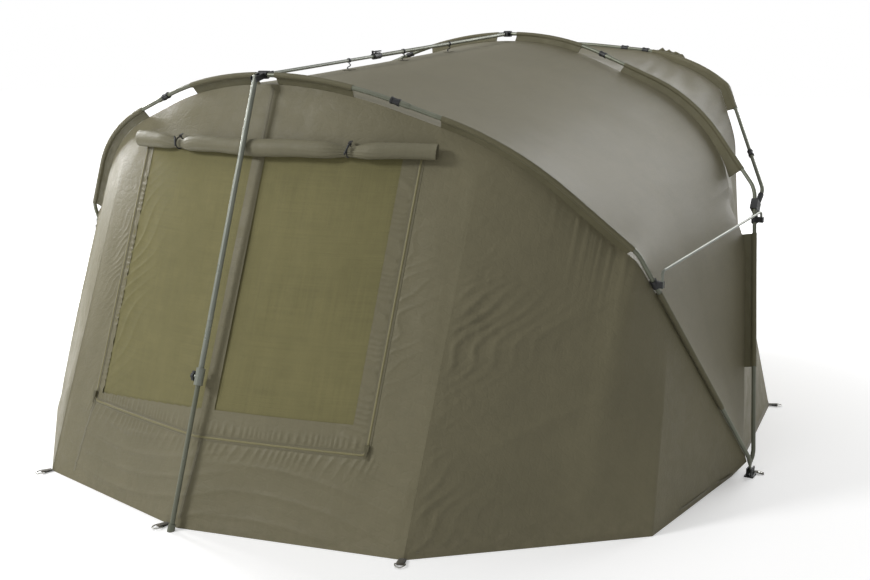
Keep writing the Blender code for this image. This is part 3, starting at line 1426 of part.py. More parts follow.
def build_tab(name, corner, out, web, metal):
    """A webbing tab at a hem corner and the ring that hinges in its folded end."""
    out = unit(out)
    across = np.cross(out, np.array([0.0, 0.0, 1.0]))
    up = np.array([0.0, 0.0, 1.0])
    start = np.asarray(corner) + out * (CLOTH / 2 + FIT_GAP - TAB_LIFT * HEM_SLOPE_SHARE)
    height = TAB_LIFT + TAB_THICKNESS / 2
    half = TAB_LENGTH / 2
    middle = start + out * half + up * height
    made = box(name, middle, (across, out, up), (TAB_WIDTH / 2, half, TAB_THICKNESS / 2), web)
    roll_half = across * (TAB_WIDTH / 2 + FIT_GAP)
    eye = start + out * (TAB_LENGTH + TAB_EYE_RADIUS / 2) + up * height
    join(made, rod(name + "_roll", eye - roll_half, eye + roll_half, TAB_EYE_RADIUS, sides=14))
    reach = roll_half + across * CUT_OVERRUN
    cut(made, rod(name + "_eye", eye - reach, eye + reach, RING_WIRE + SLIDE_GAP, sides=14))
    line = []
    steps = 12
    for k in range(steps + 1):
        angle = math.pi * k / steps
        line.append(eye + RING_HALF_WIDTH * math.cos(angle) * across + RING_DEPTH * math.sin(angle) * out)
    ring = pipe("ring" + name[3:], line, RING_WIRE, metal, sides=8, closed=True)
    set_origin(ring, eye)
    return eye, across


def centre_on_ground():
    """Move everything so that the middle of the outline lies over the origin."""
    bpy.context.view_layer.update()
    graph = bpy.context.evaluated_depsgraph_get()
    reach = []
    for item in bpy.data.objects:
        if item.hide_render:
            continue
        seen = item.evaluated_get(graph)
        reach += [(seen.matrix_world @ vertex.co).y for vertex in seen.data.vertices]
    middle = (min(reach) + max(reach)) / 2
    for item in bpy.data.objects:
        item.location.y -= middle
    return middle


def main():
    clear_scene()
    paint = material("rib_paint", (0.20, 0.21, 0.17), 0.4, 0.45)
    moulding = material("black_moulding", (0.02, 0.02, 0.02), 0.0, 0.5)
    steel = material("bright_steel", (0.62, 0.62, 0.60), 1.0, 0.3)
    cloth = material("canopy_cloth", (0.15, 0.13, 0.09), 0.0, 0.85)
    sleeve_cloth = material("sleeve_cloth", (0.11, 0.10, 0.07), 0.0, 0.85)
    mesh_cloth = material("window_mesh", (0.16, 0.14, 0.07), 0.0, 0.8)
    zip_surface = material("zip_tape", (0.24, 0.21, 0.12), 0.0, 0.7)
    web = material("webbing", (0.08, 0.08, 0.06), 0.0, 0.9)

    lines = build_ribs(paint, moulding)
    for side, word in ((1, "right"), (-1, "left")):
        build_foot(side, f"foot_{word}", moulding)
        build_block(side, f"pivot_block_{word}", moulding)
        _, rear_socket = build_collar(
            side, f"bar_collar_{word}", CENTRE, CENTRE_ELBOW, lines["centre"], BAR_COLLAR_S, False, moulding
        )
        _, front_socket = build_collar(
            side, f"bar_clip_{word}", FRONT, FRONT_ELBOW, lines["front"], BAR_CLIP_S, True, moulding
        )
        build_bar(f"side_bar_{word}", rear_socket, front_socket, steel)
        print("bar", word, rear_socket, front_socket)

    front_apex = FRONT.place(np.array([[0.0, FRONT_APEX]]))[0]
    centre_apex = CENTRE.place(np.array([[0.0, CENTRE_APEX]]))[0]
    front_pivot, centre_pivot, hinge, span = build_ridge(front_apex, centre_apex, paint, moulding)
    pole_pivot, pole_foot, down, knob, _ = build_pole(front_apex, paint, moulding)
    front_arms = [
        (front_pivot, RIDGE_ROD_RADIUS + FIT_GAP, False),
        (pole_pivot, POLE_RADIUS + FIT_GAP, True),
    ]
    build_hub("front_hub", front_apex, front_arms, moulding)
    build_hub("centre_hub", centre_apex, [(centre_pivot, RIDGE_TUBE_RADIUS + FIT_GAP, True)], moulding)
    build_sleeves(lines, sleeve_cloth)

    front_skin = skin_line(lines["front"], FRONT_ELBOW, HEM_FOOT_X)
    centre_skin = skin_line(lines["centre"], CENTRE_ELBOW, HEM_FOOT_X)
    block_x = float(np.interp(PIVOT_S, centre_skin[:9, 1], centre_skin[:9, 0]))
    rear_skin = skin_line(lines["rear"], REAR_ELBOW, block_x)
    build_front(front_skin, cloth, mesh_cloth, zip_surface, steel)
    build_canopy((front_skin, centre_skin, rear_skin), cloth)
    centre_tab = np.array([-TAB_ASIDE, hem_y(TAB_ASIDE), 0.0])
    hem_out = np.array([HEM_CENTRE_Y - HEM_FRONT_Y, -HEM_FRONT_X, 0.0])
    eye, across = build_tab("tab_front", centre_tab, hem_out, web, steel)
    print("ring", "front", eye, across)
    for side, word in ((1, "right"), (-1, "left")):
        corner = np.array([side * HEM_FRONT_X, HEM_FRONT_Y, 0.0])
        out = (side * SIDE_TAB_OUT_SHARES[0], SIDE_TAB_OUT_SHARES[1], 0.0)
        eye, across = build_tab(f"tab_{word}", corner, out, web, steel)
        print("ring", word, eye, across)
    print("pivots", front_pivot, centre_pivot, hinge, span)
    print("pole", pole_pivot, pole_foot, down, knob)
    print("rear pivot", PIVOT_X, REAR_PIVOT)
    print("moved forward by", centre_on_ground())


main()
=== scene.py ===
"""Looks of the bivvy tent: its sewn canopy, sleeves, window, zips, webbing and metalwork.

Metres, +Z up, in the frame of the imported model. The cloth is worked out as grids of
points between the ribs' outlines, so each sheet meets its neighbours along one seam.
"""

import json
import math

import bmesh
import bpy
import numpy as np
from mathutils import Matrix, Vector


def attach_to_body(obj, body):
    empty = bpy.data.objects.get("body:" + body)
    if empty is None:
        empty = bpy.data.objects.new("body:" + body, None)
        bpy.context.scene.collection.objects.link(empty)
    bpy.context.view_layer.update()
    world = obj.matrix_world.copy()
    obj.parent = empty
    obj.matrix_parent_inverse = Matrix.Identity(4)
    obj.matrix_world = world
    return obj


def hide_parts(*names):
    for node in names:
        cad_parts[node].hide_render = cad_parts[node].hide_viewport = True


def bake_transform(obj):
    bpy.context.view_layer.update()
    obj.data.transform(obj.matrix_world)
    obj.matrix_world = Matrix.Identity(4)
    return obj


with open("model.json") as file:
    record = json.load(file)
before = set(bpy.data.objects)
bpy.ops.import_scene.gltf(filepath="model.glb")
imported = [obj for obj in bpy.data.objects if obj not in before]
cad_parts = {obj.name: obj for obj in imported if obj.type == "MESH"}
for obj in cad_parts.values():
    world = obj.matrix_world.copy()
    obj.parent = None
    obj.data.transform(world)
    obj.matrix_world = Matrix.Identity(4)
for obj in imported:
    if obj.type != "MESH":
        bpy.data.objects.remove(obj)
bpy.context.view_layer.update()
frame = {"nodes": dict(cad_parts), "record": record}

# The model lies forward of the feet by this much
AHEAD = 0.1395815
SIDES = ((1, "right"), (-1, "left"))
SHORTEST = 1e-9

# Ribs: lean from upright, corner points (x, s), and bends, as the metal frame has them
AXIS_HEIGHT = 0.020
HALF_SPREAD = 1.497
FOOT_STRAIGHT = 0.075
FRONT_LEAN = math.radians(-32.4)
CENTRE_LEAN = math.radians(30.1)
REAR_LEAN = math.radians(54.0)
BLADE = 0.0025
FRONT_RIB = dict(elbow=(1.235, 1.035), shoulder=(0.885, 0.085), apex=1.706, crown=1.33)
CENTRE_RIB = dict(elbow=(1.305, 1.135), shoulder=(0.972, 0.164), apex=1.858, crown=1.22)
REAR_RIB = dict(elbow=(0.990, 0.794), shoulder=(0.738, 0.084), apex=1.130, crown=1.60)
FOOT_BEND, ELBOW_BEND, SHOULDER_BEND = 0.10, 0.14, 0.95
RIB_RADIUS = 0.008
PIVOT_S, PIVOT_OFFSET = 1.064, 0.030
REAR_STRAIGHT = 0.110
RIB_END_S = -0.008

# Seams and hems: the skin hangs this far inside a rib's crown, or narrower where given
SKIN_DROP, NARROW_DROP = 0.038, 0.0115
FRONT_SEAM = dict(elbow=FRONT_RIB["elbow"], leg_drop=NARROW_DROP, cut=0.006, reach=0.22)
CENTRE_SEAM = dict(elbow=(1.31, 1.10), leg_drop=0.036, cut=0.070, reach=0.125)
REAR_SEAM = dict(elbow=(1.31, 0.12), leg_drop=SKIN_DROP, cut=0.085, reach=0.20, high=1.00)
SEAM_POINTS = 601
SKIN_FOOT_S = 0.050
HEM_FOOT_X = 1.440
FRONT_SEAM_X = 0.780
HEM_CENTRE_Y = -1.435
HEM_FRONT = (0.774, -1.270)
HEM_CORNER = (1.374, -0.708)
REAR_CORNER = (1.330, 0.915)
REAR_MIDDLE = (0.820, 1.600)
REAR_CENTRE_Y = 1.770
GROUND = 0.0008
WINDOW_X, WINDOW_LOW, WINDOW_HIGH = 0.600, 0.285, 1.195
PANE_LEFT, PANE_RIGHT = (-0.562, 0.000), (0.052, 0.540)
PANE_LOW, PANE_CORNER_LOW = 0.372, 0.318


def unit(vectors):
    vectors = np.asarray(vectors, float)
    return vectors / np.maximum(np.linalg.norm(vectors, axis=-1, keepdims=True), SHORTEST)


def lengths_of(line):
    """Running length at each point of a line."""
    return np.concatenate([[0.0], np.cumsum(np.linalg.norm(np.diff(line, axis=0), axis=1))])


def whole_length(line):
    return lengths_of(line)[-1]


def at_lengths(line, lengths):
    """Points of a line at given lengths along it."""
    along = lengths_of(line)
    return np.stack([np.interp(lengths, along, line[:, k]) for k in range(line.shape[1])], -1)


def rounded(corners, radii, count=28):
    """Straight runs joined at each corner by the arc that touches both of them."""
    corners = [np.asarray(c, float) for c in corners]
    line = [corners[0][None]]
    for before, corner, after, radius in zip(corners, corners[1:], corners[2:], radii):
        come, leave = unit(corner - before), unit(after - corner)
        turn = math.acos(np.clip(come @ leave, -1.0, 1.0))
        inward = unit(leave - come)
        middle = corner + inward * radius / math.cos(turn / 2)
        angle = np.linspace(-turn / 2, turn / 2, count)[:, None]
        line.append(middle + radius * (np.sin(angle) * unit(come + leave) - np.cos(angle) * inward))
    return np.vstack(line + [corners[-1][None]])


def hoop(end, elbow, shoulder, apex, crown, straight):
    """A whole rib in its plane, each half from its foot's end up to the apex.

    A shoulder is given as its x and how far its corner stands over the crown's arc.
    """
    across, over = shoulder
    drop = math.sqrt(crown**2 - across**2) + over
    turn = math.atan2(across, drop) - math.acos(crown / math.hypot(across, drop))
    peak = (0.0, apex + crown * (1.0 / math.cos(turn) - 1.0))
    high = apex - crown + drop
    corners = [end, (end[0], straight), elbow, (across, high), peak, (-across, high)]
    half = rounded(corners, [FOOT_BEND, ELBOW_BEND, SHOULDER_BEND, crown])
    half = np.vstack([half[half[:, 0] > 0.03], [0.0, apex]])
    return np.vstack([half, half[:-1][::-1] * [-1.0, 1.0]])


class Plane:
    """A rib's leaned plane through its fold line."""

    def __init__(self, y, z, lean):
        self.pivot = np.array([0.0, y, z])
        self.up = np.array([0.0, math.sin(lean), math.cos(lean)])
        self.back = np.array([0.0, math.cos(lean), -math.sin(lean)])

    def turn(self, flat):
        """A way (x, s) in the plane, in space."""
        zero = 0 * flat[..., 0]
        return np.stack([flat[..., 0], zero, zero], -1) + flat[..., 1:2] * self.up

    def place(self, flat):
        """Points (x, s) of the plane, in space."""
        flat = np.asarray(flat, float)
        across = np.stack([flat[..., 0], 0 * flat[..., 0], 0 * flat[..., 0]], -1)
        return self.pivot + across + flat[..., 1:2] * self.up


FRONT = Plane(-AHEAD, AXIS_HEIGHT, FRONT_LEAN)
CENTRE = Plane(-AHEAD, AXIS_HEIGHT, CENTRE_LEAN)
BLOCK = CENTRE.pivot + PIVOT_S * CENTRE.up + PIVOT_OFFSET * CENTRE.back
REAR = Plane(BLOCK[1], BLOCK[2], REAR_LEAN)


def outward_of(flat):
    """The way out of the hoop at each point of its line."""
    along = unit(np.gradient(flat, axis=0))
    return np.stack([along[:, 1], -along[:, 0]], -1)


def bell(value, centre, width):
    return np.exp(-(((value - centre) / width) ** 2))


def smooth_step(value):
    value = np.clip(value, 0.0, 1.0)
    return value * value * (3.0 - 2.0 * value)


def drop_of(s, seam):
    """How far the seam lies inside a rib: one width on the crown, another on the leg.

    One passes into the other over 140 mm at the elbow; above seam["high"] it is narrow.
    """
    below = smooth_step((seam["elbow"][1] + 0.07 - s) / 0.14)
    drop = SKIN_DROP + (seam["leg_drop"] - SKIN_DROP) * below
    if "high" in seam:
        drop = drop - (SKIN_DROP - NARROW_DROP) * smooth_step((s - seam["high"]) / 0.05)
    return drop


def skin_line(rib, seam, low_x):
    """The seam inside a rib, drawn further in beside its elbows by a bell curve."""
    rib = at_lengths(rib, np.linspace(0.0, whole_length(rib), SEAM_POINTS))
    line = rib - drop_of(rib[:, 1], seam)[:, None] * outward_of(rib)
    beside = bell(rib[:, 1], seam["elbow"][1], seam["reach"])
    line[:, 0] -= np.sign(line[:, 0]) * seam["cut"] * beside
    line = line[line[:, 1] > FOOT_STRAIGHT / 2]
    return np.vstack([[[low_x, 0.0]], line, [[-low_x, 0.0]]])


def x_at(line, s):
    """The x at which a hoop's right half stands s up its plane."""
    right = line[: len(line) // 2]
    return float(np.interp(s, right[:, 1], right[:, 0]))


front_rib = hoop((HALF_SPREAD + BLADE, RIB_END_S), straight=FOOT_STRAIGHT, **FRONT_RIB)
centre_rib = hoop((HALF_SPREAD - BLADE, RIB_END_S), straight=FOOT_STRAIGHT, **CENTRE_RIB)
rear_rib = hoop((x_at(centre_rib, PIVOT_S), RIB_END_S), straight=REAR_STRAIGHT, **REAR_RIB)
RIBS = {
    "front": (front_rib, FRONT, "front_rib"),
    "centre": (centre_rib, CENTRE, "frame"),
    "rear": (rear_rib, REAR, "rear_rib"),
}
front_seam = skin_line(front_rib, FRONT_SEAM, HEM_FOOT_X)
centre_seam = skin_line(centre_rib, CENTRE_SEAM, HEM_FOOT_X)
rear_seam = skin_line(rear_rib, REAR_SEAM, x_at(centre_seam, PIVOT_S))


def length_at(line, value, axis):
    """Length along a hoop at which its right half reaches an x (axis 0) or an s (axis 1)."""
    half = line[: len(line) // 2 + 1]
    along = lengths_of(half)
    order = -half[:, 0] if axis == 0 else half[:, 1]
    return float(np.interp(-value if axis == 0 else value, order, along))


def stretch_of(line, start, end, shares):
    """Points of a line at shares of the way between two lengths."""
    return at_lengths(line, start + (end - start) * shares)


def piece_of(line, start, end, step=0.012):
    """A stretch of a rib's line between two lengths, in even short steps."""
    count = max(int(abs(end - start) / step), 6)
    return at_lengths(line, np.linspace(start, end, count))


# Noise without a seed: sums of sines with set phases


def crumple(u, v, seed):
    """Soft pseudo-random relief: eight sine waves whose directions turn by the golden angle."""
    total = 0.0 * u * v
    for k in range(8):
        turn = seed * 1.7 + k * 2.399963
        pace = 0.7 + 0.23 * k
        phase = 5.1 * seed + 1.9 * k * k
        wave = np.sin(2 * math.pi * pace * (u * math.cos(turn) + v * math.sin(turn)) + phase)
        total = total + wave / (1.0 + 0.35 * k)
    return total / 3.2


# Meshes


def set_mesh(name, points, faces, uv=None, smooth=True, flat=None):
    """A mesh object from arrays of points, four-cornered faces and one (u, v) per point."""
    mesh = bpy.data.meshes.new(name)
    points = np.asarray(points, float)
    mesh.vertices.add(len(points))
    mesh.vertices.foreach_set("co", points.ravel().astype(np.float32))
    faces = np.asarray(faces, np.int32)
    mesh.loops.add(faces.size)
    mesh.loops.foreach_set("vertex_index", faces.ravel())
    mesh.polygons.add(len(faces))
    mesh.polygons.foreach_set("loop_start", np.arange(len(faces), dtype=np.int32) * faces.shape[1])
    mesh.update(calc_edges=True)
    if uv is not None:
        layer = mesh.uv_layers.new(name="cloth")
        layer.data.foreach_set("uv", np.asarray(uv, np.float32)[faces.ravel()].ravel())
    rounded_off = np.full(len(faces), smooth) if flat is None else ~flat
    mesh.polygons.foreach_set("use_smooth", rounded_off)
    if flat is not None:
        edge_of = np.empty(faces.size, np.int32)
        mesh.loops.foreach_get("edge_index", edge_of)
        sharp = np.zeros(len(mesh.edges), bool)
        sharp[edge_of.reshape(faces.shape)[flat].ravel()] = True
        mesh.attributes.new("sharp_edge", "BOOLEAN", "EDGE").data.foreach_set("value", sharp)
    mesh.validate()
    made = bpy.data.objects.new(name, mesh)
    bpy.context.scene.collection.objects.link(made)
    return made


def grid_faces(rows, columns, closed=False):
    """Corner numbers of every cell of a grid, whose columns may close on themselves."""
    i, j = np.meshgrid(np.arange(rows - 1), np.arange(columns - (not closed)), indexing="ij")
    start, right = i * columns, (j + 1) % columns
    cells = [start + j, start + right, start + columns + right, start + columns + j]
    return np.stack(cells, -1).reshape(-1, 4)


def lay_uv(grid):
    """(u, v) of a grid in metres: running lengths along its middle row and its columns."""
    across = lengths_of(grid[grid.shape[0] // 2])
    steps = np.cumsum(np.linalg.norm(np.diff(grid, axis=0), axis=2), axis=0)
    down = np.concatenate([np.zeros((1, grid.shape[1])), steps])
    return np.stack([np.broadcast_to(across, down.shape), down], -1)


def normals_of(grid):
    return unit(np.cross(np.gradient(grid, axis=1), np.gradient(grid, axis=0)))


def cloth_sheet(name, grid, material, thickness=0.0007, keep=None):
    """A sheet of cloth on a grid of points: two faces its own thickness apart and a flat rim.

    keep marks the grid's cells that are cloth; every border between a kept cell and none
    gets a rim, so an opening is closed round its edge too.
    """
    rows, columns = grid.shape[:2]
    total = rows * columns
    keep = np.ones((rows - 1, columns - 1), bool) if keep is None else keep
    off = normals_of(grid) * (thickness / 2)
    number = np.arange(total).reshape(rows, columns)
    cells = grid_faces(rows, columns)[keep.ravel()]
    solid = np.pad(keep, 1)
    down, across = solid[:, 1:-1], solid[1:-1]
    faces = [cells[:, ::-1], cells + total]
    every, fore, aft = slice(None), slice(None, -1), slice(1, None)
    for border, start, end in (
        (~down[:-1] & down[1:], (every, fore), (every, aft)),
        (down[:-1] & ~down[1:], (every, aft), (every, fore)),
        (across[:, :-1] & ~across[:, 1:], (fore, every), (aft, every)),
        (~across[:, :-1] & across[:, 1:], (aft, every), (fore, every)),
    ):
        a, b = number[start][border], number[end][border]
        faces.append(np.stack([a, b, b + total, a + total], -1))
    faces = np.vstack(faces)
    rim = np.arange(len(faces)) >= len(cells) * 2
    points = np.concatenate([grid - off, grid + off]).reshape(-1, 3)
    used, faces = np.unique(faces, return_inverse=True)
    uv = np.tile(lay_uv(grid).reshape(-1, 2), (2, 1))
    made = set_mesh(name, points[used], faces.reshape(-1, 4), uv[used], flat=rim)
    made.data.materials.append(material)
    return made


def area_of(grid, keep=None):
    """Area of a grid: the sum of its cells, each half the cross product of its diagonals."""
    a = grid[1:, 1:] - grid[:-1, :-1]
    b = grid[:-1, 1:] - grid[1:, :-1]
    cells = np.linalg.norm(np.cross(a, b), axis=2)
    return float((cells if keep is None else cells * keep).sum() / 2)


def declare_sheet(grid, keep=None):
    """Work out what flat cloth a sheet was cut from: its threads' lengths and its kept cells' area.

    A slender sheet, under 0.3 of that rectangle, gets one of 1.6 times its own area. Nothing of it
    is returned or kept.
    """
    width = max(whole_length(grid[k]) for k in (0, grid.shape[0] // 2, -1))
    length = max(whole_length(grid[:, k]) for k in (0, grid.shape[1] // 2, -1))
    area = min(area_of(grid, keep), width * length)
    if area < 0.3 * width * length:
        width, length = width * 0.8, area / (0.5 * width)


def close_ends(made):
    """Fill the open ends of a tube with flat caps and turn every face outward."""
    shape = bmesh.new()
    shape.from_mesh(made.data)
    edges = [e for e in shape.edges if e.is_boundary]
    if edges:
        for cap in bmesh.ops.holes_fill(shape, edges=edges)["faces"]:
            cap.smooth = False
            for edge in cap.edges:
                edge.smooth = False
    bmesh.ops.recalc_face_normals(shape, faces=shape.faces)
    shape.to_mesh(made.data)
    shape.free()


def closed_tube(name, points, material):
    """One object from (stations, count) points, closed round its count and at both ends."""
    stations, count = points.shape[:2]
    length, girth = lengths_of(points[:, 0])[:, None], lengths_of(points[stations // 2])
    uv = np.stack(np.broadcast_arrays(length, girth), -1).reshape(-1, 2)
    made = set_mesh(name, points.reshape(-1, 3), grid_faces(stations, count, closed=True), uv)
    made.data.materials.append(material)
    close_ends(made)
    return made


def section_along(path, section, across):
    """Points of a section, (out, aside) pairs, set square to a path at each of its points."""
    path = np.asarray(path, float)
    along = unit(np.gradient(path, axis=0))
    across = np.broadcast_to(np.asarray(across, float), path.shape)
    across = unit(across - (across * along).sum(1, keepdims=True) * along)
    out = np.cross(across, along)
    return path[:, None] + section[:, 0:1] * out[:, None] + section[:, 1:2] * across[:, None]


def circle(radius, sides, flat=1.0):
    angle = 2 * math.pi * np.arange(sides) / sides
    return np.stack([radius * np.cos(angle), radius * flat * np.sin(angle)], -1)


def turned(name, profile, start, axis, material, sides):
    """A profile of (distance along the axis, radius) pairs turned round the axis."""
    axis = unit(axis)
    side = unit(np.cross(axis, [0.13, 0.21, 1.0] if abs(axis[2]) < 0.9 else [1.0, 0.2, 0.1]))
    up = np.cross(axis, side)
    profile = np.asarray(profile, float)
    angle = 2 * math.pi * np.arange(sides) / sides
    ring = np.cos(angle)[:, None] * side + np.sin(angle)[:, None] * up
    points = np.asarray(start) + profile[:, 0:1, None] * axis + profile[:, 1:2, None] * ring[None]
    made = closed_tube(name, points, material)
    made.data.set_sharp_from_angle(angle=math.radians(38))
    return made


# Cloth sheets, worked out between the seams


def sheet_between(front, back, rows):
    """Straight threads from one line of points to another, and the way along them."""
    v = np.linspace(0.0, 1.0, rows)[:, None, None]
    return front[None] * (1.0 - v) + back[None] * v, v[..., 0]


FRONT_TOTAL, CENTRE_TOTAL, REAR_TOTAL = map(whole_length, (front_seam, centre_seam, rear_seam))
FRONT_ELBOW_AT = length_at(front_seam, FRONT_RIB["elbow"][1], 1)
CENTRE_ELBOW_AT = length_at(centre_seam, CENTRE_RIB["elbow"][1], 1)
FRONT_LOW_AT = length_at(front_seam, SKIN_FOOT_S, 1)
CENTRE_LOW_AT = length_at(centre_seam, SKIN_FOOT_S, 1)
REAR_LOW_AT = length_at(rear_seam, SKIN_FOOT_S / 2, 1)
BLOCK_AT = length_at(centre_seam, PIVOT_S, 1)
SEAM_AT = length_at(front_seam, FRONT_SEAM_X, 0)
rear_corner_top = REAR.place(at_lengths(rear_seam, [REAR_LOW_AT]))[0]

SIDE_COLUMNS, ROOF_COLUMNS = 71, 241
COLUMN_STEP = 0.0145


def canopy_grid(rows=90, soften=0.115):
    """The roof and both sides as one skin: threads from the front seam to the centre seam.

    Away from the seams each point is averaged with its neighbours round the hoop, by a bell
    115 mm wide, so the elbows' bend spreads over the slack cloth. The roof hangs 50 mm times
    4v(1-v) and the sides draw in 30 mm, both fading to nothing where one becomes the other.
    Pulls under 2 mm high leave both seams, and a crumple of 2.6 mm lies over all but the ends.
    """
    low, high = np.linspace(0.0, 1.0, SIDE_COLUMNS)[:-1], np.linspace(0.0, 1.0, ROOF_COLUMNS)
    lines = []
    for plane, seam, low_at, elbow_at, total in (
        (FRONT, front_seam, FRONT_LOW_AT, FRONT_ELBOW_AT, FRONT_TOTAL),
        (CENTRE, centre_seam, CENTRE_LOW_AT, CENTRE_ELBOW_AT, CENTRE_TOTAL),
    ):
        side = low_at + (elbow_at - low_at) * low
        at = np.concatenate([side, elbow_at + (total - 2 * elbow_at) * high, total - side[::-1]])
        lines.append(plane.place(at_lengths(seam, at)))
    grid, v = sheet_between(*lines, rows)
    columns = grid.shape[1]
    reach = int(3 * soften / COLUMN_STEP)
    weights = np.exp(-0.5 * (np.arange(-reach, reach + 1) * COLUMN_STEP / soften) ** 2)
    weights = weights / weights.sum()
    padded = np.concatenate([grid[:, :1]] * reach + [grid] + [grid[:, -1:]] * reach, axis=1)
    soft_grid = sum(w * padded[:, k : k + columns] for k, w in enumerate(weights))
    from_end = np.minimum(np.arange(columns), np.arange(columns)[::-1]) / SIDE_COLUMNS
    share = ((4 * v * (1 - v)) ** 0.6 * smooth_step(from_end / 0.45))[..., None]
    grid = grid * (1 - share) + soft_grid * share
    up_side = np.clip(from_end, 0.0, 1.0)
    roof_share = np.clip((np.arange(columns) - SIDE_COLUMNS + 1) / (ROOF_COLUMNS - 1), 0.0, 1.0)
    off = np.abs(2 * roof_share - 1)
    between = 4 * v * (1 - v)
    grid[..., 2] -= 0.050 * between * smooth_step(off / 0.34) * smooth_step((1 - off) / 0.34)
    inward = -np.sign(np.linspace(1.0, -1.0, columns))
    grid[..., 0] += inward * 0.030 * between * np.sin(math.pi * up_side) ** 2 * (from_end < 1)
    near_front, near_back = np.exp(-v * 14), np.exp(-(1 - v) * 16)
    front_turns = roof_share * 47 + 0.3 * np.sin(roof_share * 31)
    back_turns = roof_share * 53 + 0.4 * np.sin(roof_share * 23)
    pulls = 0.0018 * near_front * np.sin(2 * math.pi * front_turns)
    pulls = pulls + 0.0014 * near_back * np.sin(2 * math.pi * back_turns)
    along = np.arange(columns) / columns
    soft = 0.0026 * crumple(along * 4.4, v * 1.6, 2) * smooth_step(from_end / 0.5)
    return grid + normals_of(grid) * ((pulls + soft) * between**0.5)[..., None]


def hood_grid(rows=60, columns=221):
    """The hood between the centre and rear ribs, hung 35 mm lower at its middle.

    Slack shows as sine folds slanted towards both lower corners, 2.6 mm high under a bell
    curve across the hood, over a soft crumple of 6 mm; all fade out at the seams.
    """
    share = np.linspace(0.0, 1.0, columns)
    front = CENTRE.place(stretch_of(centre_seam, BLOCK_AT, CENTRE_TOTAL - BLOCK_AT, share))
    back = REAR.place(stretch_of(rear_seam, REAR_LOW_AT, REAR_TOTAL - REAR_LOW_AT, share))
    grid, v = sheet_between(front, back, rows)
    belly = 4 * v * (1 - v) * np.sin(math.pi * share)
    grid[..., 2] -= 0.035 * belly
    off = np.abs(2 * share - 1)
    turns = off * 13 + v * 2.2 + 0.4 * np.sin(off * 17)
    slack = bell(off, 0.62, 0.30) * np.sin(2 * math.pi * turns)
    soft = 0.0026 * belly**0.5 * slack + 0.006 * belly * crumple(share * 4, v * 1.3, 9)
    return grid + normals_of(grid) * soft[..., None]


def rear_hem():
    """Corners of the rear hem on the ground, from the right rear corner to the left one."""
    corner, middle = np.array(REAR_CORNER), np.array(REAR_MIDDLE)
    line = np.array([corner, middle, [0.0, REAR_CENTRE_Y], middle * [-1, 1], corner * [-1, 1]])
    line[:, 1] -= AHEAD
    return np.column_stack([line, np.full(5, GROUND)])


def rear_grid(rows=80, columns=181):
    """The rear wall from the rear rib's seam to the hem, drawn in 40 mm at its middle.

    Nine long sine folds, 4.5 mm high, and a crumple of 4 mm fade out at every edge.
    """
    share = np.linspace(0.0, 1.0, columns)
    top = REAR.place(stretch_of(rear_seam, REAR_LOW_AT, REAR_TOTAL - REAR_LOW_AT, share))
    hem = rear_hem()
    low = at_lengths(hem, share * whole_length(hem))
    grid, v = sheet_between(top, low, rows)
    belly = 4 * v * (1 - v) * np.sin(math.pi * share)
    grid[..., 1] -= 0.040 * belly
    slack = 0.0045 * np.sin(2 * math.pi * (share * 9 + 0.35 * v * np.cos(share * 7)))
    soft = belly * (slack + 0.004 * crumple(share * 3, v * 1.7, 13))
    return grid + normals_of(grid) * soft[..., None]


def rear_side_grid(side, rows=50, columns=90):
    """The sheet behind a centre leg, down to the hem, with a crumple up to 6 mm high."""
    mirror = np.array([side, 1.0])
    share = np.linspace(1.0, 0.0, columns - 1)
    leg = CENTRE.place(stretch_of(centre_seam, CENTRE_LOW_AT, BLOCK_AT, share) * mirror)
    leg = np.vstack([rear_corner_top * [side, 1.0, 1.0], leg])
    along = np.linspace(0.0, 1.0, columns)[:, None]
    corner = np.array([side * REAR_CORNER[0], REAR_CORNER[1] - AHEAD, GROUND])
    foot = np.array([side * HEM_FOOT_X, SKIN_DROP - AHEAD, GROUND])
    grid, v = sheet_between(leg, corner * (1 - along) + foot * along, rows)
    share = along[:, 0]
    soft = 0.006 * 4 * v * (1 - v) * np.sin(math.pi * share) * crumple(share * 1.7, v * 1.3, 17)
    return grid + normals_of(grid) * soft[..., None]


def wall_ends(x):
    """Upper and lower ends of the front wall's straight threads at each x."""
    x = np.asarray(x, float)
    half = front_seam[: len(front_seam) // 2 + 1]
    s = np.interp(-np.abs(x), -half[:, 0], half[:, 1])
    top = FRONT.place(np.stack([x, s], -1))
    low_x = x * HEM_FRONT[0] / FRONT_SEAM_X
    low_y = HEM_CENTRE_Y + (HEM_FRONT[1] - HEM_CENTRE_Y) * np.abs(x) / HEM_FRONT[0] - AHEAD
    return top, np.stack([low_x, low_y, np.full_like(x, GROUND)], -1)


def wall_point(x, z):
    """Places on the front wall at x along its threads and height z, before any wrinkles."""
    x, z = np.broadcast_arrays(np.asarray(x, float), np.asarray(z, float))
    top, low = wall_ends(x)
    return low + (top - low) * (z / top[..., 2])[..., None]


def wall_normal(x, z):
    step = 0.008
    across = wall_point(x + step, z) - wall_point(x - step, z)
    rise = wall_point(x, z + step) - wall_point(x, z - step)
    return unit(np.cross(across, rise))


def pleats(phase, sharp):
    """Creases with a sharp crest and a wide trough: one less the size of a sine, to a power."""
    return (1.0 - np.abs(np.sin(math.pi * phase))) ** sharp


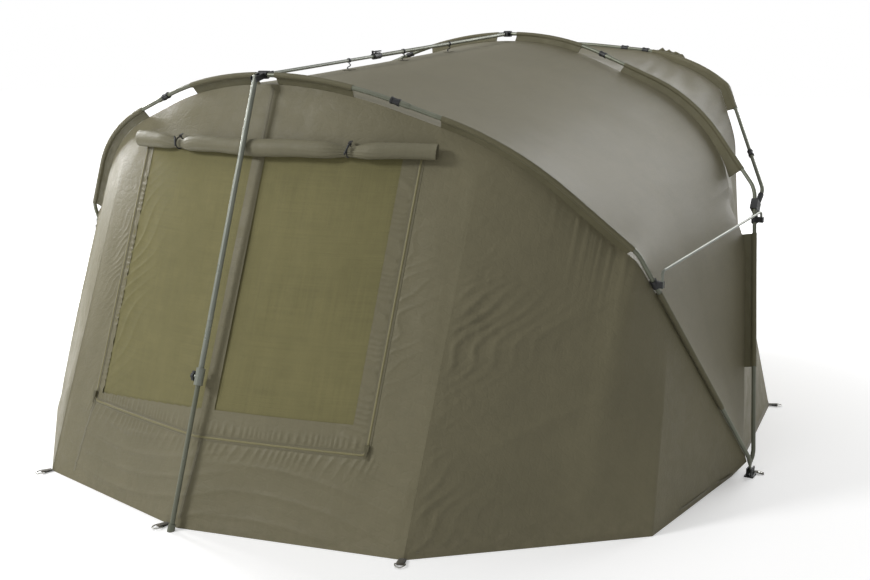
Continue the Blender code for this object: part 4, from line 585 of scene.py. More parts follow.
def wall_relief(x, z):
    """How far the front wall stands off its threads.

    Pleats run down and out from the left zip, and slant off the right one, fading outward
    as exp(-distance / 50 to 60 mm); close ruffles fill the strips between zip and mesh.
    Below the zip's foot short puckers hang over long slanted creases and a crumple. Above
    the window there is a crumple of 1.2 mm, and nothing within 10 mm of the zip.
    """
    left = x < 0
    off_zip = np.abs(x) - WINDOW_X
    out = np.maximum(off_zip, 0.0)
    beside = smooth_step((z - WINDOW_LOW) / 0.04) * smooth_step((WINDOW_HIGH - z) / 0.12)
    wander = 0.45 * np.sin(z * 23 + 1.3 * left) + 0.3 * np.sin(z * 51)
    long_left = pleats(z / 0.036 + 30.0 * out + wander, 2.0)
    long_left = long_left * (0.55 + 0.45 * np.sin(z * 9.5 + 0.6))
    long_right = pleats(z / 0.066 - 13.0 * out + wander, 2.2)
    long_right = long_right * (0.5 + 0.5 * np.sin(z * 8.0 + 2.0))
    left_pulls = 0.0046 * np.exp(-out / 0.050) * long_left
    right_pulls = 0.0042 * np.exp(-out / 0.060) * long_right
    outer = np.where(left, left_pulls, right_pulls)
    slant = 9.0 * off_zip * np.sign(x)
    ruffle = 0.0036 * pleats(z / 0.027 + slant + 0.8 * np.sin(z * 31), 1.6)
    inner = ruffle * smooth_step((off_zip + 0.11) / 0.03)
    relief = beside * np.where(off_zip >= 0, outer, inner)
    under = WINDOW_LOW - z
    below = smooth_step(under / 0.010)
    hanging = pleats(x / 0.028 + 14.0 * under + 0.7 * np.sin(x * 19), 1.8)
    puckers = 0.0042 * bell(under, 0.0, 0.050) * hanging
    across = smooth_step((WINDOW_X + 0.06 - np.abs(x)) / 0.06)
    down_left = pleats(under / 0.062 + 1.15 * x + 0.5 * np.sin(x * 5.3), 2.4)
    down_right = pleats(under / 0.080 - 1.6 * x + 0.6 * np.sin(x * 4.1), 2.6)
    creases = 0.0052 * down_left * bell(x, -0.33, 0.36)
    creases = creases + 0.0040 * down_right * bell(x, 0.42, 0.30)
    waves = 0.0040 * crumple(x * 2.2, z * 2.6, 21)
    slack = (creases + waves) * smooth_step(z / 0.05) * smooth_step(under / 0.05)
    relief = relief + below * (puckers * across + slack)
    above = smooth_step((z - WINDOW_HIGH) / 0.05)
    relief = relief + above * 0.0012 * crumple(x * 3.0, z * 5.0, 23)
    strip = (z > WINDOW_LOW) & (off_zip < 0)
    low_strip = 0.0040 * bell(z - WINDOW_LOW, 0.024, 0.020)
    low_strip = low_strip * pleats(x / 0.021 + 0.6 * np.sin(x * 27), 1.6)
    relief = relief + np.where(strip, low_strip, 0.0)
    margin = smooth_step((off_zip - 0.02) / 0.06)
    margin = margin * smooth_step((FRONT_SEAM_X - np.abs(x)) / 0.05)
    relief = relief + margin * 0.0026 * crumple(x * 3.5, z * 2.2, 25)
    side_off = np.hypot(off_zip, np.maximum(under, 0.0) + np.maximum(z - WINDOW_HIGH, 0.0))
    foot_off = np.hypot(under, out)
    return relief * smooth_step((np.minimum(side_off, foot_off) - 0.010) / 0.010)


def front_wall_grid():
    """The front wall's grid, and which of its cells are cloth round the open panes.

    Rows are level up to the window's top and share the rest of the way to the seam above it.
    Relief fades out at the rib, at the side seams and within 30 mm of the hem.
    """
    beyond = np.linspace(WINDOW_X, FRONT_SEAM_X, 46)
    inside = np.linspace(-WINDOW_X, WINDOW_X, 241)
    x = np.concatenate([-beyond[::-1], inside[1:-1], beyond])
    low = np.linspace(0.0, WINDOW_LOW, 60)
    mid = np.linspace(WINDOW_LOW, WINDOW_HIGH, 230)
    tops = wall_ends(x)[0][:, 2]
    v = np.linspace(0.0, 1.0, 40)[1:]
    level = [np.full_like(x, z) for z in np.concatenate([low, mid[1:]])]
    z = np.array(level + [WINDOW_HIGH + (tops - WINDOW_HIGH) * k for k in v])[::-1]
    x = np.broadcast_to(x, z.shape)
    edge = smooth_step((wall_ends(x)[0][..., 2] - z) / 0.06)
    edge = edge * smooth_step((FRONT_SEAM_X - np.abs(x)) / 0.03)
    relief = wall_relief(x, z) * edge * smooth_step(z / 0.03)
    grid = wall_point(x, z) + wall_normal(x, z) * relief[..., None]
    centre_x = (x[:-1, :-1] + x[1:, 1:]) / 2
    centre_z = (z[:-1, :-1] + z[1:, 1:]) / 2
    return grid, ~in_pane(centre_x, centre_z)


def in_pane(x, z):
    """True where a mesh pane shows through the wall."""
    left = (x > PANE_LEFT[0]) & (x < PANE_LEFT[1])
    right = (x > PANE_RIGHT[0]) & (x < PANE_RIGHT[1])
    low = np.interp(x, PANE_LEFT, [PANE_CORNER_LOW, PANE_LOW])
    return (left | right) & (z > low) & (z < WINDOW_HIGH)


def pane_grid(rows=170, columns=260):
    """The mesh behind both openings, 1.4 mm behind the wall and 6 mm slack at its middle.

    Slanted pleats leave its left edge at mid height, and faint upright lines run beside
    the middle.
    """
    x = np.linspace(PANE_LEFT[0] - 0.012, PANE_RIGHT[1] + 0.012, columns)[None]
    z = np.linspace(WINDOW_HIGH + 0.015, PANE_CORNER_LOW - 0.012, rows)[:, None]
    x, z = np.broadcast_arrays(x, z)
    across = np.sin(math.pi * (x - x.min()) / np.ptp(x))
    belly = across * np.sin(math.pi * (z - z.min()) / np.ptp(z))
    left_pull = bell(x, -0.545, 0.11) * bell(z, 0.72, 0.33)
    folds = 0.0035 * left_pull * pleats((z - 1.1 * x) / 0.07 + 0.6 * np.sin(z * 17), 2.0)
    lines = np.sin(2 * math.pi * (x * 9 + 0.3 * np.sin(z * 5)))
    lines = 0.0011 * belly * lines * bell(x, 0.12, 0.3)
    relief = -0.0014 - 0.006 * belly + folds + lines + 0.0016 * belly * crumple(x * 2, z * 2, 31)
    return wall_point(x, z) + wall_normal(x, z) * relief[..., None]


def corner_grid(side, rows=150, columns=190):
    """The corner sheet from the front wall's seam round to a foot.

    p is the way from that seam and q the height, in metres. Two sets of pleats start at the
    seam, run out and up, and fade as exp(-p / 50 to 150 mm); broad drapes lie beside them.
    Gathers hang below the rib near the seam, and wide slack waves cross the lower half.
    """
    share = np.linspace(0.0, 1.0, columns)
    leg = stretch_of(front_seam, SEAM_AT, FRONT_LOW_AT, share)
    hem = np.array([HEM_FRONT, HEM_CORNER, (HEM_FOOT_X, -SKIN_DROP)], float)
    hem[:, 1] -= AHEAD
    hem[:, 0] *= side
    hem = np.column_stack([hem, np.full(3, GROUND)])
    upper = FRONT.place(leg * np.array([side, 1.0]))
    lower = at_lengths(hem, share * whole_length(hem))
    grid, v = sheet_between(upper, lower, rows)
    outward = unit(np.array([-side * HEM_CORNER[1], -HEM_CORNER[0], 0.0]))
    p = share * 1.05
    q = grid[..., 2]
    fade = smooth_step(p / 0.03) * smooth_step(v / 0.05)
    fade = fade * smooth_step((1 - v) / 0.03) * smooth_step((1 - share) / 0.1)
    slant = q / 0.052 - p * 22.0 + 0.7 * np.sin(q * 14 + side) + 0.35 * np.sin(q * 37)
    fine = q / 0.027 - p * 33.0 + 0.8 * np.sin(q * 33) + 0.5 * np.sin(q * 71 + side)
    reach = 0.100 + 0.05 * np.sin(q * 9.0 + 2.0 * side)
    strength = bell(q, 0.55, 0.62) if side > 0 else bell(q, 0.60, 0.5) * 0.35
    broad = 0.0105 * pleats(slant, 2.0) * (0.6 + 0.4 * np.sin(q * 11))
    pulls = strength * np.exp(-p / reach) * (broad + 0.0034 * pleats(fine, 2.0))
    drapes = 0.0040 * strength * bell(p, 0.26, 0.19) * pleats(q / 0.31 - p * 1.75 + 0.25, 3.2)
    seam_row = np.exp(-v / 0.10) * bell(share, 0.30, 0.10)
    gathers = 0.013 * seam_row * pleats(share * 62 + 0.4 * np.sin(share * 90), 1.8)
    low = smooth_step(v * 1.6 - 0.5)
    long_waves = 0.0018 * pleats(p * 2.6 + q * 3.4, 3.4)
    waves = low * (0.0055 * crumple(p * 2.4, q * 2.0, 41 + side) + long_waves)
    relief = fade * (pulls + drapes + waves + 0.0018 * crumple(p * 4, q * 4, 43))
    relief = relief + gathers * smooth_step(v / 0.02)
    belly = 4 * v * (1 - v) * np.sin(math.pi * share)
    relief = relief + 0.012 * belly - 0.010 * belly * bell(share, 0.15, 0.2)
    return grid + outward * relief[..., None]


def sleeve_points(flat, plane, seam, count=14):
    """Cloth folded round a rib: a tube, and two layers that run in as a fin to the seam.

    The fin sways by up to 1.9 mm as two sines of the length, fading at the sleeve's ends.
    """
    outer = 0.0094
    s, aside = flat[:, 1], np.abs(outward_of(flat)[:, 0])
    beside = bell(s, seam["elbow"][1], seam["reach"])
    depth = drop_of(s, seam) + seam["cut"] * aside * beside - 0.0006
    depth = np.maximum(depth, outer + 0.0012)
    spread = math.pi - math.asin(0.0013 / outer)
    angle = np.linspace(-spread, spread, count * 2 + 1)
    around = np.stack([outer * np.cos(angle), outer * np.sin(angle)], -1)
    along = lengths_of(flat)
    down = np.linspace(0.0, 1.0, 9)[1:]
    wave = np.sin(2 * math.pi * (along / 0.17)) + 0.6 * np.sin(2 * math.pi * along / 0.071 + 2.0)
    ends = smooth_step(along / 0.03) * smooth_step((along[-1] - along) / 0.03)
    sway = 0.0012 * (wave * ends)[:, None] * np.sin(math.pi * down)
    fin_out = -outer - (depth[:, None] - outer) * down
    near = np.stack([fin_out, np.full_like(fin_out, 0.0010) + sway], -1)
    far = np.stack([fin_out, np.full_like(fin_out, -0.0010) + sway], -1)
    around = np.broadcast_to(around, (len(flat), *around.shape))
    ring = np.concatenate([far[:, ::-1], around, near], axis=1)
    out = plane.turn(outward_of(flat))[:, None]
    return plane.place(flat)[:, None] + ring[..., 0:1] * out + ring[..., 1:2] * plane.back


def make_sleeve(name, flat, plane, seam, body, node, gap=None):
    """One sleeve along a stretch of a rib, left open between two lengths where gap is given."""
    points = sleeve_points(flat, plane, seam)
    rows, columns = points.shape[:2]
    along = lengths_of(flat)
    keep = np.ones((rows - 1, columns - 1), bool)
    if gap is not None:
        keep[(along[1:] > gap[0]) & (along[:-1] < gap[1])] = False
    sheet_piece(
        name, points, sleeve_cloth, (body, "sleeve_cloth", node),
        keep=keep, thickness=SLEEVE_THICK,
    )


def tube_points(flat, plane, wide, back, sides=24):
    """A tube along a rib, wide in the hoop's plane and back across it at each point."""
    angle = 2 * math.pi * np.arange(sides) / sides
    out, place = plane.turn(outward_of(flat)), plane.place(flat)
    square = np.cross(out, unit(np.gradient(place, axis=0)))
    points = place[:, None] + (back[:, None] * np.sin(angle))[..., None] * square[:, None]
    return points + (wide[:, None] * np.cos(angle))[..., None] * out[:, None]


def attach(piece, body, slot, node=None):
    """Ride a piece on a body; slot is not used; node is the soft solid that it stands in for."""
    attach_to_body(piece, body)
    if node:
        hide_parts(node)
    return piece


def sheet_piece(
    name, grid, material, place, keep=None, thickness=0.0007
):
    """A cloth sheet, attached at its place (body, slot, node), its flat cloth worked out and not
    kept.
    """
    made = attach(cloth_sheet(name, grid, material, thickness, keep), *place)
    declare_sheet(grid, keep)


# Materials


class Wiring:
    """Short calls that add nodes to a tree and link what they read."""

    def __init__(self, tree):
        self.tree = tree

    def node(self, kind, inputs=None, **settings):
        made = self.tree.nodes.new(kind)
        for key, value in settings.items():
            setattr(made, key, value)
        for key, value in (inputs or {}).items():
            self.feed(made.inputs[key], value)
        return made

    def feed(self, socket, value):
        if isinstance(value, bpy.types.NodeSocket):
            self.tree.links.new(value, socket)
        elif value is not None:
            socket.default_value = value

    def calc(self, operation, a, b=0.0, clamp=False):
        made = self.node("ShaderNodeMath", {0: a, 1: b}, operation=operation, use_clamp=clamp)
        return made.outputs[0]

    def times(self, a, b, clamp=False):
        return self.calc("MULTIPLY", a, b, clamp)

    def plus(self, a, b, clamp=False):
        return self.calc("ADD", a, b, clamp)

    def span(self, value, low, high, start=0.0, end=1.0):
        inputs = {0: value, 1: low, 2: high, 3: start, 4: end}
        made = self.node("ShaderNodeMapRange", inputs, interpolation_type="SMOOTHSTEP")
        return made.outputs[0]

    def tint(self, share, a, b, blend="MIX"):
        made = self.node("ShaderNodeMix", data_type="RGBA", blend_type=blend)
        for socket, value in ((0, share), (6, a), (7, b)):
            self.feed(made.inputs[socket], value)
        return made.outputs[2]

    def noise(self, vector, scale, detail=3.0, rough=0.5, warp=0.0):
        inputs = {"Vector": vector, "Scale": scale, "Detail": detail}
        inputs.update({"Roughness": rough, "Distortion": warp})
        return self.node("ShaderNodeTexNoise", inputs).outputs["Fac"]

    def scaled(self, vector, scale):
        return self.node("ShaderNodeMapping", {"Vector": vector, "Scale": scale}).outputs[0]

    def parts(self, vector):
        return self.node("ShaderNodeSeparateXYZ", {0: vector}).outputs


SOCKETS = {"Vector": "NodeSocketVector", "Colour": "NodeSocketColor"}


def effect(name, wire_up, outputs, **inputs):
    """A shader node group, built once: a pattern on a vector, with numbers that set it."""
    group = bpy.data.node_groups.new(name, "ShaderNodeTree")
    inputs = {"Vector": None, **inputs}
    for way, labels in (("INPUT", inputs), ("OUTPUT", outputs)):
        for label in labels:
            kind = SOCKETS.get(label, "NodeSocketFloat")
            socket = group.interface.new_socket(name=label, in_out=way, socket_type=kind)
            if way == "INPUT" and inputs[label] is not None:
                socket.default_value = inputs[label]
    w = Wiring(group)
    given = group.nodes.new("NodeGroupInput")
    result = group.nodes.new("NodeGroupOutput")
    values = wire_up(w, {label: given.outputs[label] for label in inputs})
    for label in outputs:
        w.feed(result.inputs[label], values[label])
    return group


def weave_wires(w, given):
    """Plain weave: the product of two sines makes a thread over and under at each crossing."""
    parts = w.parts(given["Vector"])
    turns = w.calc("DIVIDE", math.pi, given["Pitch"])
    a, b = [w.calc("SINE", w.times(parts[k], turns)) for k in (0, 1)]
    slub_u = w.noise(w.scaled(given["Vector"], (3.0, 260.0, 1.0)), 1.0, 2.0)
    slub_v = w.noise(w.scaled(given["Vector"], (260.0, 3.0, 1.0)), 1.0, 2.0)
    slub = w.plus(slub_u, slub_v)
    height = w.plus(w.times(w.times(a, b), 0.5), w.times(slub, 0.6))
    return {"Height": height, "Slub": w.span(slub, 0.6, 1.4)}


def crinkle_wires(w, given):
    """Small creases from handling: warped noise, and edges of cells stretched one way."""
    soft = w.noise(given["Vector"], given["Scale"], 5.0, 0.55, 0.6)
    stretched = w.scaled(given["Vector"], (1.0, 2.2, 1.4))
    inputs = {"Vector": stretched, "Scale": w.times(given["Scale"], 1.7)}
    cells = w.node("ShaderNodeTexVoronoi", inputs, feature="DISTANCE_TO_EDGE")
    crease = w.span(cells.outputs["Distance"], 0.0, 0.16)
    height = w.plus(w.times(soft, 0.8), w.times(crease, 0.22))
    return {"Height": height, "Patch": w.span(soft, 0.30, 0.70)}


def tone_wires(w, given):
    """Uneven dye and handling: broad paler and darker patches over the base colour."""
    broad = w.noise(given["Vector"], 1.7, 4.0, 0.6)
    small = w.noise(given["Vector"], 23.0, 3.0, 0.6)
    share = w.span(w.plus(w.times(broad, 0.7), w.times(small, 0.3)), 0.32, 0.68)
    pale = w.tint(1.0, given["Colour"], (1.13, 1.12, 1.10, 1.0), "MULTIPLY")
    deep = w.tint(1.0, given["Colour"], (0.89, 0.89, 0.87, 1.0), "MULTIPLY")
    spread = w.tint(given["Amount"], given["Colour"], w.tint(share, deep, pale))
    return {"Colour": spread, "Patch": share}


def dust_wires(w, given):
    """Dry soil splashed up from the ground, thickest at the hem and broken by noise."""
    low = w.span(w.parts(given["Vector"])[2], 0.0, given["Reach"], 1.0, 0.0)
    broken = w.span(w.noise(given["Vector"], 34.0, 5.0, 0.65), 0.35, 0.75)
    return {"Mask": w.times(w.times(low, broken), given["Amount"], clamp=True)}


def scuff_wires(w, given):
    """Rubbed paint: short scratches along and round the tube, and paler worn patches."""
    run = w.noise(w.scaled(given["Vector"], (1.0, 1.0, 0.12)), 210.0, 3.0, 0.6)
    round_run = w.noise(w.scaled(given["Vector"], (0.2, 1.0, 1.0)), 160.0, 2.0, 0.5)
    patch = w.noise(given["Vector"], 9.0, 4.0, 0.6)
    scratch = w.span(w.calc("MAXIMUM", run, round_run), 0.66, 0.80)
    worn = w.times(w.span(patch, 0.50, 0.74), given["Amount"])
    return {"Scratch": w.times(scratch, given["Amount"]), "Worn": worn}


def grain_wires(w, given):
    """Moulded plastic: fine pebbled grain with faint flow streaks."""
    pebble = w.noise(given["Vector"], 900.0, 2.0, 0.5)
    flow = w.noise(w.scaled(given["Vector"], (6.0, 1.0, 1.0)), 22.0, 3.0, 0.6)
    return {"Height": pebble, "Flow": w.span(flow, 0.35, 0.65)}


def stitch_wires(w, given):
    """Rows of stitches along U: dashes of a set pitch on lines a set way apart in V."""
    parts = w.parts(given["Vector"])
    along = w.calc("FRACT", w.calc("DIVIDE", parts[0], given["Pitch"]))
    dash = w.times(w.span(along, 0.08, 0.22), w.span(along, 0.70, 0.86, 1.0, 0.0))
    rows = w.calc("FRACT", w.calc("DIVIDE", parts[1], given["Apart"]))
    off = w.calc("ABSOLUTE", w.calc("SUBTRACT", rows, 0.5))
    line = w.span(off, 0.03, 0.10, 1.0, 0.0)
    return {"Mask": w.times(dash, line), "Row": line}


WEAVE = effect("weave", weave_wires, ["Height", "Slub"], Pitch=0.0008)
CRINKLE = effect("crinkle", crinkle_wires, ["Height", "Patch"], Scale=14.0)
BASE_GREY = (0.2, 0.2, 0.2, 1)
TONE = effect("uneven_dye", tone_wires, ["Colour", "Patch"], Colour=BASE_GREY, Amount=0.6)
DUST = effect("ground_dust", dust_wires, ["Mask"], Reach=0.2, Amount=0.5)
SCUFF = effect("scuffed_paint", scuff_wires, ["Scratch", "Worn"], Amount=0.5)
GRAIN = effect("moulded_grain", grain_wires, ["Height", "Flow"])
STITCH = effect("stitch_rows", stitch_wires, ["Mask", "Row"], Pitch=0.004, Apart=0.008)
DRY_SOIL = (150, 141, 118)


def painted(level):
    """A colour as seen on screen, turned into the linear value that a shader takes."""
    level = np.asarray(level, float) / 255.0
    linear = np.where(level <= 0.04045, level / 12.92, ((level + 0.055) / 1.055) ** 2.4)
    return (*[float(c) for c in linear], 1.0)


def blank(name):
    material = bpy.data.materials.new(name)
    material.use_nodes = True
    tree = material.node_tree
    return material, Wiring(tree), tree.nodes["Principled BSDF"]


class Finish:
    """A material in the making: its wires, its colour and the vectors its patterns lie on."""

    def __init__(self, name, colour):
        self.material, self.w, self.shader = blank(name)
        self.colour = np.array(colour)
        place = self.w.node("ShaderNodeTexCoord")
        self.uv, self.object = place.outputs["UV"], place.outputs["Object"]

    def use(self, group, vector, **inputs):
        """What an effect gives on a vector."""
        inputs = {"Vector": vector, **inputs}
        return self.w.node("ShaderNodeGroup", inputs, node_tree=group).outputs

    def dyed(self, amount=0.6):
        return self.use(TONE, self.object, Colour=painted(self.colour), Amount=amount)

    def soiled(self, colour, reach, amount):
        """A colour with dry soil over it near the ground, and where the soil lies."""
        mask = self.use(DUST, self.object, Reach=reach, Amount=amount)["Mask"]
        return self.w.tint(mask, colour, painted(DRY_SOIL)), mask

    def bump(self, height, distance, strength, after=None):
        inputs = {"Height": height, "Distance": distance, "Strength": strength, "Normal": after}
        return self.w.node("ShaderNodeBump", inputs).outputs[0]

    def done(self, colour, rough, normal, other):
        """The material, its shader fed with these and with other inputs by name."""
        inputs = {"Base Color": colour, "Roughness": rough, "Normal": normal, **other}
        for key, value in inputs.items():
            self.w.feed(self.shader.inputs[key], value)
        return self.material


def cloth_material(
    name, colour, rough=0.52, crinkle=14.0, depth=0.0022,
    sheen=0.03, dust=0.0, spec=0.30, uneven=0.055,
):
    """Coated woven cloth: weave and slubs on its UV, creases and dye patches on the object."""
    f = Finish(name, colour)
    thread = f.use(WEAVE, f.uv, Pitch=0.0009)
    creased = f.use(CRINKLE, f.object, Scale=crinkle)
    slubs = f.w.times(thread["Slub"], 0.10)
    threads = f.w.tint(slubs, f.dyed()["Colour"], painted(f.colour * 1.28))
    soiled, soil = f.soiled(threads, 0.16, dust)
    patchy = f.w.span(creased["Patch"], 0.0, 1.0, rough - uneven, rough + uneven)
    patchy = f.w.plus(patchy, f.w.times(soil, 0.25), clamp=True)
    creases = f.bump(creased["Height"], depth, 0.55)
    other = {"Sheen Weight": sheen, "Sheen Roughness": 0.45, "Specular IOR Level": spec}
    return f.done(soiled, patchy, f.bump(thread["Height"], 0.00035, 0.35, creases), other)


def mesh_material(name, colour):
    """Fine window mesh: threads both ways over small dark holes, streaked as netting is."""
    f = Finish(name, colour)
    thread = f.use(WEAVE, f.uv, Pitch=0.0011)
    toned = f.dyed(0.75)["Colour"]
    holes = f.w.span(thread["Height"], 0.10, 0.75)
    dark = f.w.tint(1.0, toned, (0.66, 0.67, 0.62, 1.0), "MULTIPLY")
    light = f.w.tint(1.0, toned, (1.15, 1.15, 1.10, 1.0), "MULTIPLY")
    rough = f.w.span(thread["Slub"], 0.0, 1.0, 0.62, 0.78)
    other = {"Sheen Weight": 0.04, "Specular IOR Level": 0.15}
    threads = f.bump(thread["Height"], 0.0004, 0.4)
    return f.done(f.w.tint(holes, dark, light), rough, threads, other)


def stitched_material(name, colour, thread_colour, apart):
    """Seam and hem strips: the same cloth with rows of stitches sunk into it."""
    f = Finish(name, colour)
    thread = f.use(WEAVE, f.uv, Pitch=0.0009)
    rows = f.use(STITCH, f.uv, Pitch=0.0042, Apart=apart)
    sewn_through = f.w.tint(rows["Mask"], f.dyed()["Colour"], painted(thread_colour))
    rough = f.w.span(thread["Slub"], 0.0, 1.0, 0.55, 0.67)
    sunk = f.bump(rows["Row"], -0.0008, 0.8)
    normal = f.bump(thread["Height"], 0.00035, 0.4, sunk)
    return f.done(f.soiled(sewn_through, 0.05, 0.35)[0], rough, normal, {"Sheen Weight": 0.12})


def webbing_material(name, colour):
    """Flat webbing: coarse ribs along its length, and dust near the ground."""
    f = Finish(name, colour)
    thread = f.use(WEAVE, f.uv, Pitch=0.0016)
    rough = f.w.span(thread["Slub"], 0.0, 1.0, 0.66, 0.84)
    normal = f.bump(thread["Height"], 0.0006, 0.7)
    dusty = f.soiled(f.dyed(0.8)["Colour"], 0.05, 0.4)[0]
    return f.done(dusty, rough, normal, {"Sheen Weight": 0.2})


def paint_material(name, colour, bare, rough=0.38):
    """Satin paint on aluminium tube, rubbed pale in patches and scratched where parts slide."""
    f = Finish(name, colour)
    rubbed = f.use(SCUFF, f.object, Amount=0.5)
    worn = f.w.tint(rubbed["Worn"], f.dyed(0.5)["Colour"], painted(f.colour * 1.16))
    metal = f.w.span(rubbed["Scratch"], 0.0, 1.0, 0.35, 0.9)
    smooth = f.w.span(rubbed["Worn"], 0.0, 0.5, rough, rough - 0.10)
    fine = f.w.noise(f.w.scaled(f.object, (1.0, 1.0, 0.3)), 420.0, 2.0, 0.5)
    scratched = f.w.tint(rubbed["Scratch"], worn, painted(bare))
    return f.done(scratched, smooth, f.bump(fine, 0.0002, 0.25), {"Metallic": metal})


def moulding_material(name, colour):
    """Moulded black fittings: pebbled grain, flow streaks and paler rubbed patches."""
    f = Finish(name, colour)
    grain = f.use(GRAIN, f.object)
    rubbed = f.use(SCUFF, f.object, Amount=0.4)
    streaks = f.w.times(grain["Flow"], 0.35)
    tone = f.w.tint(streaks, painted(f.colour), painted(f.colour * 1.6 + 6))
    tone = f.w.tint(rubbed["Worn"], tone, painted(f.colour * 1.9 + 14))
    rough = f.w.span(grain["Flow"], 0.0, 1.0, 0.40, 0.54)
    return f.done(tone, rough, f.bump(grain["Height"], 0.0002, 0.35), {})


def steel_material(name, colour):
    """Plated steel wire and hardware: bright, with rubbed dull places and light grime."""
    f = Finish(name, colour)
    worn = f.use(SCUFF, f.object, Amount=0.6)["Worn"]
    dull = f.w.tint(worn, f.dyed(0.7)["Colour"], painted(f.colour * 0.62))
    rough = f.w.span(worn, 0.0, 0.6, 0.28, 0.53)
    metal = f.w.span(worn, 0.0, 0.6, 1.0, 0.85)
    fine = f.bump(f.w.noise(f.object, 380.0, 2.0), 0.00015, 0.3)
    return f.done(dull, rough, fine, {"Metallic": metal})


def zip_material(name, colour):
    """Nylon coil: glossy ridges of thread, a shade yellower than the cloth."""
    f = Finish(name, colour)
    toned = f.dyed()
    fine = f.w.noise(f.w.scaled(f.uv, (900.0, 60.0, 1.0)), 1.0, 2.0)
    rough = f.w.span(toned["Patch"], 0.0, 1.0, 0.42, 0.56)
    return f.done(toned["Colour"], rough, f.bump(fine, 0.0003, 0.4), {})


cloth = cloth_material("canopy_cloth", (113, 108, 85), dust=0.16)
roof_cloth = cloth_material(
    "roof_cloth", (112, 107, 85), rough=0.54, crinkle=3.0, depth=0.0002, spec=0.5, uneven=0.012
)
sleeve_cloth = cloth_material(
    "sleeve_cloth", (97, 93, 70), rough=0.58, crinkle=22.0, depth=0.0015, sheen=0.1
)
flap_cloth = cloth_material("flap_cloth", (112, 108, 87), rough=0.55, crinkle=26.0, depth=0.0016)
window_mesh = mesh_material("window_mesh", (116, 111, 78))
hem_cloth = stitched_material("hem_cloth", (106, 101, 80), (132, 126, 98), apart=0.0125)
tape_cloth = stitched_material("zip_tape_cloth", (104, 99, 76), (126, 120, 88), apart=0.008)
zip_coil_finish = zip_material("zip_coil", (124, 118, 82))
webbing = webbing_material("dark_webbing", (52, 50, 42))
rib_paint = paint_material("rib_paint", (112, 115, 100), (176, 178, 172))
bar_paint = paint_material("bar_paint", (134, 138, 128), (190, 192, 188), rough=0.33)
zip_metal = paint_material("zip_metal", (98, 94, 72), (170, 166, 150), rough=0.35)
black_moulding = moulding_material("black_moulding", (30, 31, 32))
bright_steel = steel_material("bright_steel", (190, 190, 186))
elastic = webbing_material("black_elastic", (26, 26, 25))


# Sheets of the canopy

wall_points, wall_keep = front_wall_grid()
place = ("front_rib", "canopy_cloth", "front_panel")
sheet_piece("front_wall", wall_points, cloth, place, keep=wall_keep)
place = ("front_rib", "window_mesh", "window")
sheet_piece("window_panes", pane_grid(), window_mesh, place, thickness=0.0005)

whole = canopy_grid()
roof_points = whole[:, SIDE_COLUMNS - 1 : 1 - SIDE_COLUMNS]
roof = cloth_sheet("roof_sheet", roof_points, roof_cloth)
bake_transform(roof)
hood_points, rear_points = hood_grid(), rear_grid()
hood = cloth_sheet("hood_sheet", hood_points, roof_cloth)
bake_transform(hood)
rear = cloth_sheet("rear_sheet", rear_points, cloth)
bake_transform(rear)
for sheet, grid, node, ribs in (
    (roof, roof_points, "roof", ["front_crown_tube", "centre_crown_tube"]),
    (hood, hood_points, "hood", ["centre_crown_tube", "rear_rib_tube"]),
    (rear, rear_points, "rear_wall", ["rear_rib_tube"]),
):
    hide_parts(node)
    declare_sheet(grid)

low_grids = {}
for side, word in SIDES:
    side_points = whole[:, :SIDE_COLUMNS] if side > 0 else whole[:, -SIDE_COLUMNS:]
    for kind, grid, rib, finish in (
        ("corner", corner_grid(side), "front", cloth),
        ("side", side_points, "front", roof_cloth),
        ("rear_side", rear_side_grid(side), "centre", cloth),
    ):
        sheet = cloth_sheet(f"{kind}_cloth_{word}", grid, finish)
        if kind == "side":
            start, end = (0, -0.25 - AHEAD, 0.5), (0, 0.25 - AHEAD, 0.5)
            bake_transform(sheet)
        else:
            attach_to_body(sheet, RIBS[rib][2])
        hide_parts(f"{kind}_{word}")
        declare_sheet(grid)
        low_grids[f"{kind}_{word}"] = grid


# Ribs, smooth all along, each leg with its socket and its flattened foot end


def rib_section(name, flat, plane, node, body, eye=None):
    """A round tube along a rib; a leg, given its foot's eye, gets a pierced blade and a socket."""
    along = lengths_of(flat)
    wide = back = np.full(len(flat), RIB_RADIUS)
    if eye is not None:
        blade = 1.0 - smooth_step((along - 0.030) / 0.035)
        swell = 0.0018 * smooth_step((along - (along[-1] - 0.055)) / 0.006)
        wide = RIB_RADIUS + (BLADE - RIB_RADIUS) * blade + swell
        back = RIB_RADIUS + (0.0095 - RIB_RADIUS) * blade + swell
    made = closed_tube(name, tube_points(flat, plane, wide, back), rib_paint)
    if eye is not None:
        pierce(made, eye, 0.0031)
    attach(made, body, "rib_paint", node)


def pierce(piece, centre, radius):
    """Cut a round hole through a piece along X."""
    profile = [(-0.02, radius), (0.02, radius)]
    cutter = turned("cutter", profile, centre, (1.0, 0.0, 0.0), None, sides=24)
    cut = piece.modifiers.new("hole", "BOOLEAN")
    cut.operation = "DIFFERENCE"
    cut.solver = "EXACT"
    cut.object = cutter
    graph = bpy.context.evaluated_depsgraph_get()
    mesh = bpy.data.meshes.new_from_object(piece.evaluated_get(graph))
    piece.modifiers.clear()
    piece.data = mesh
    bpy.data.objects.remove(cutter)


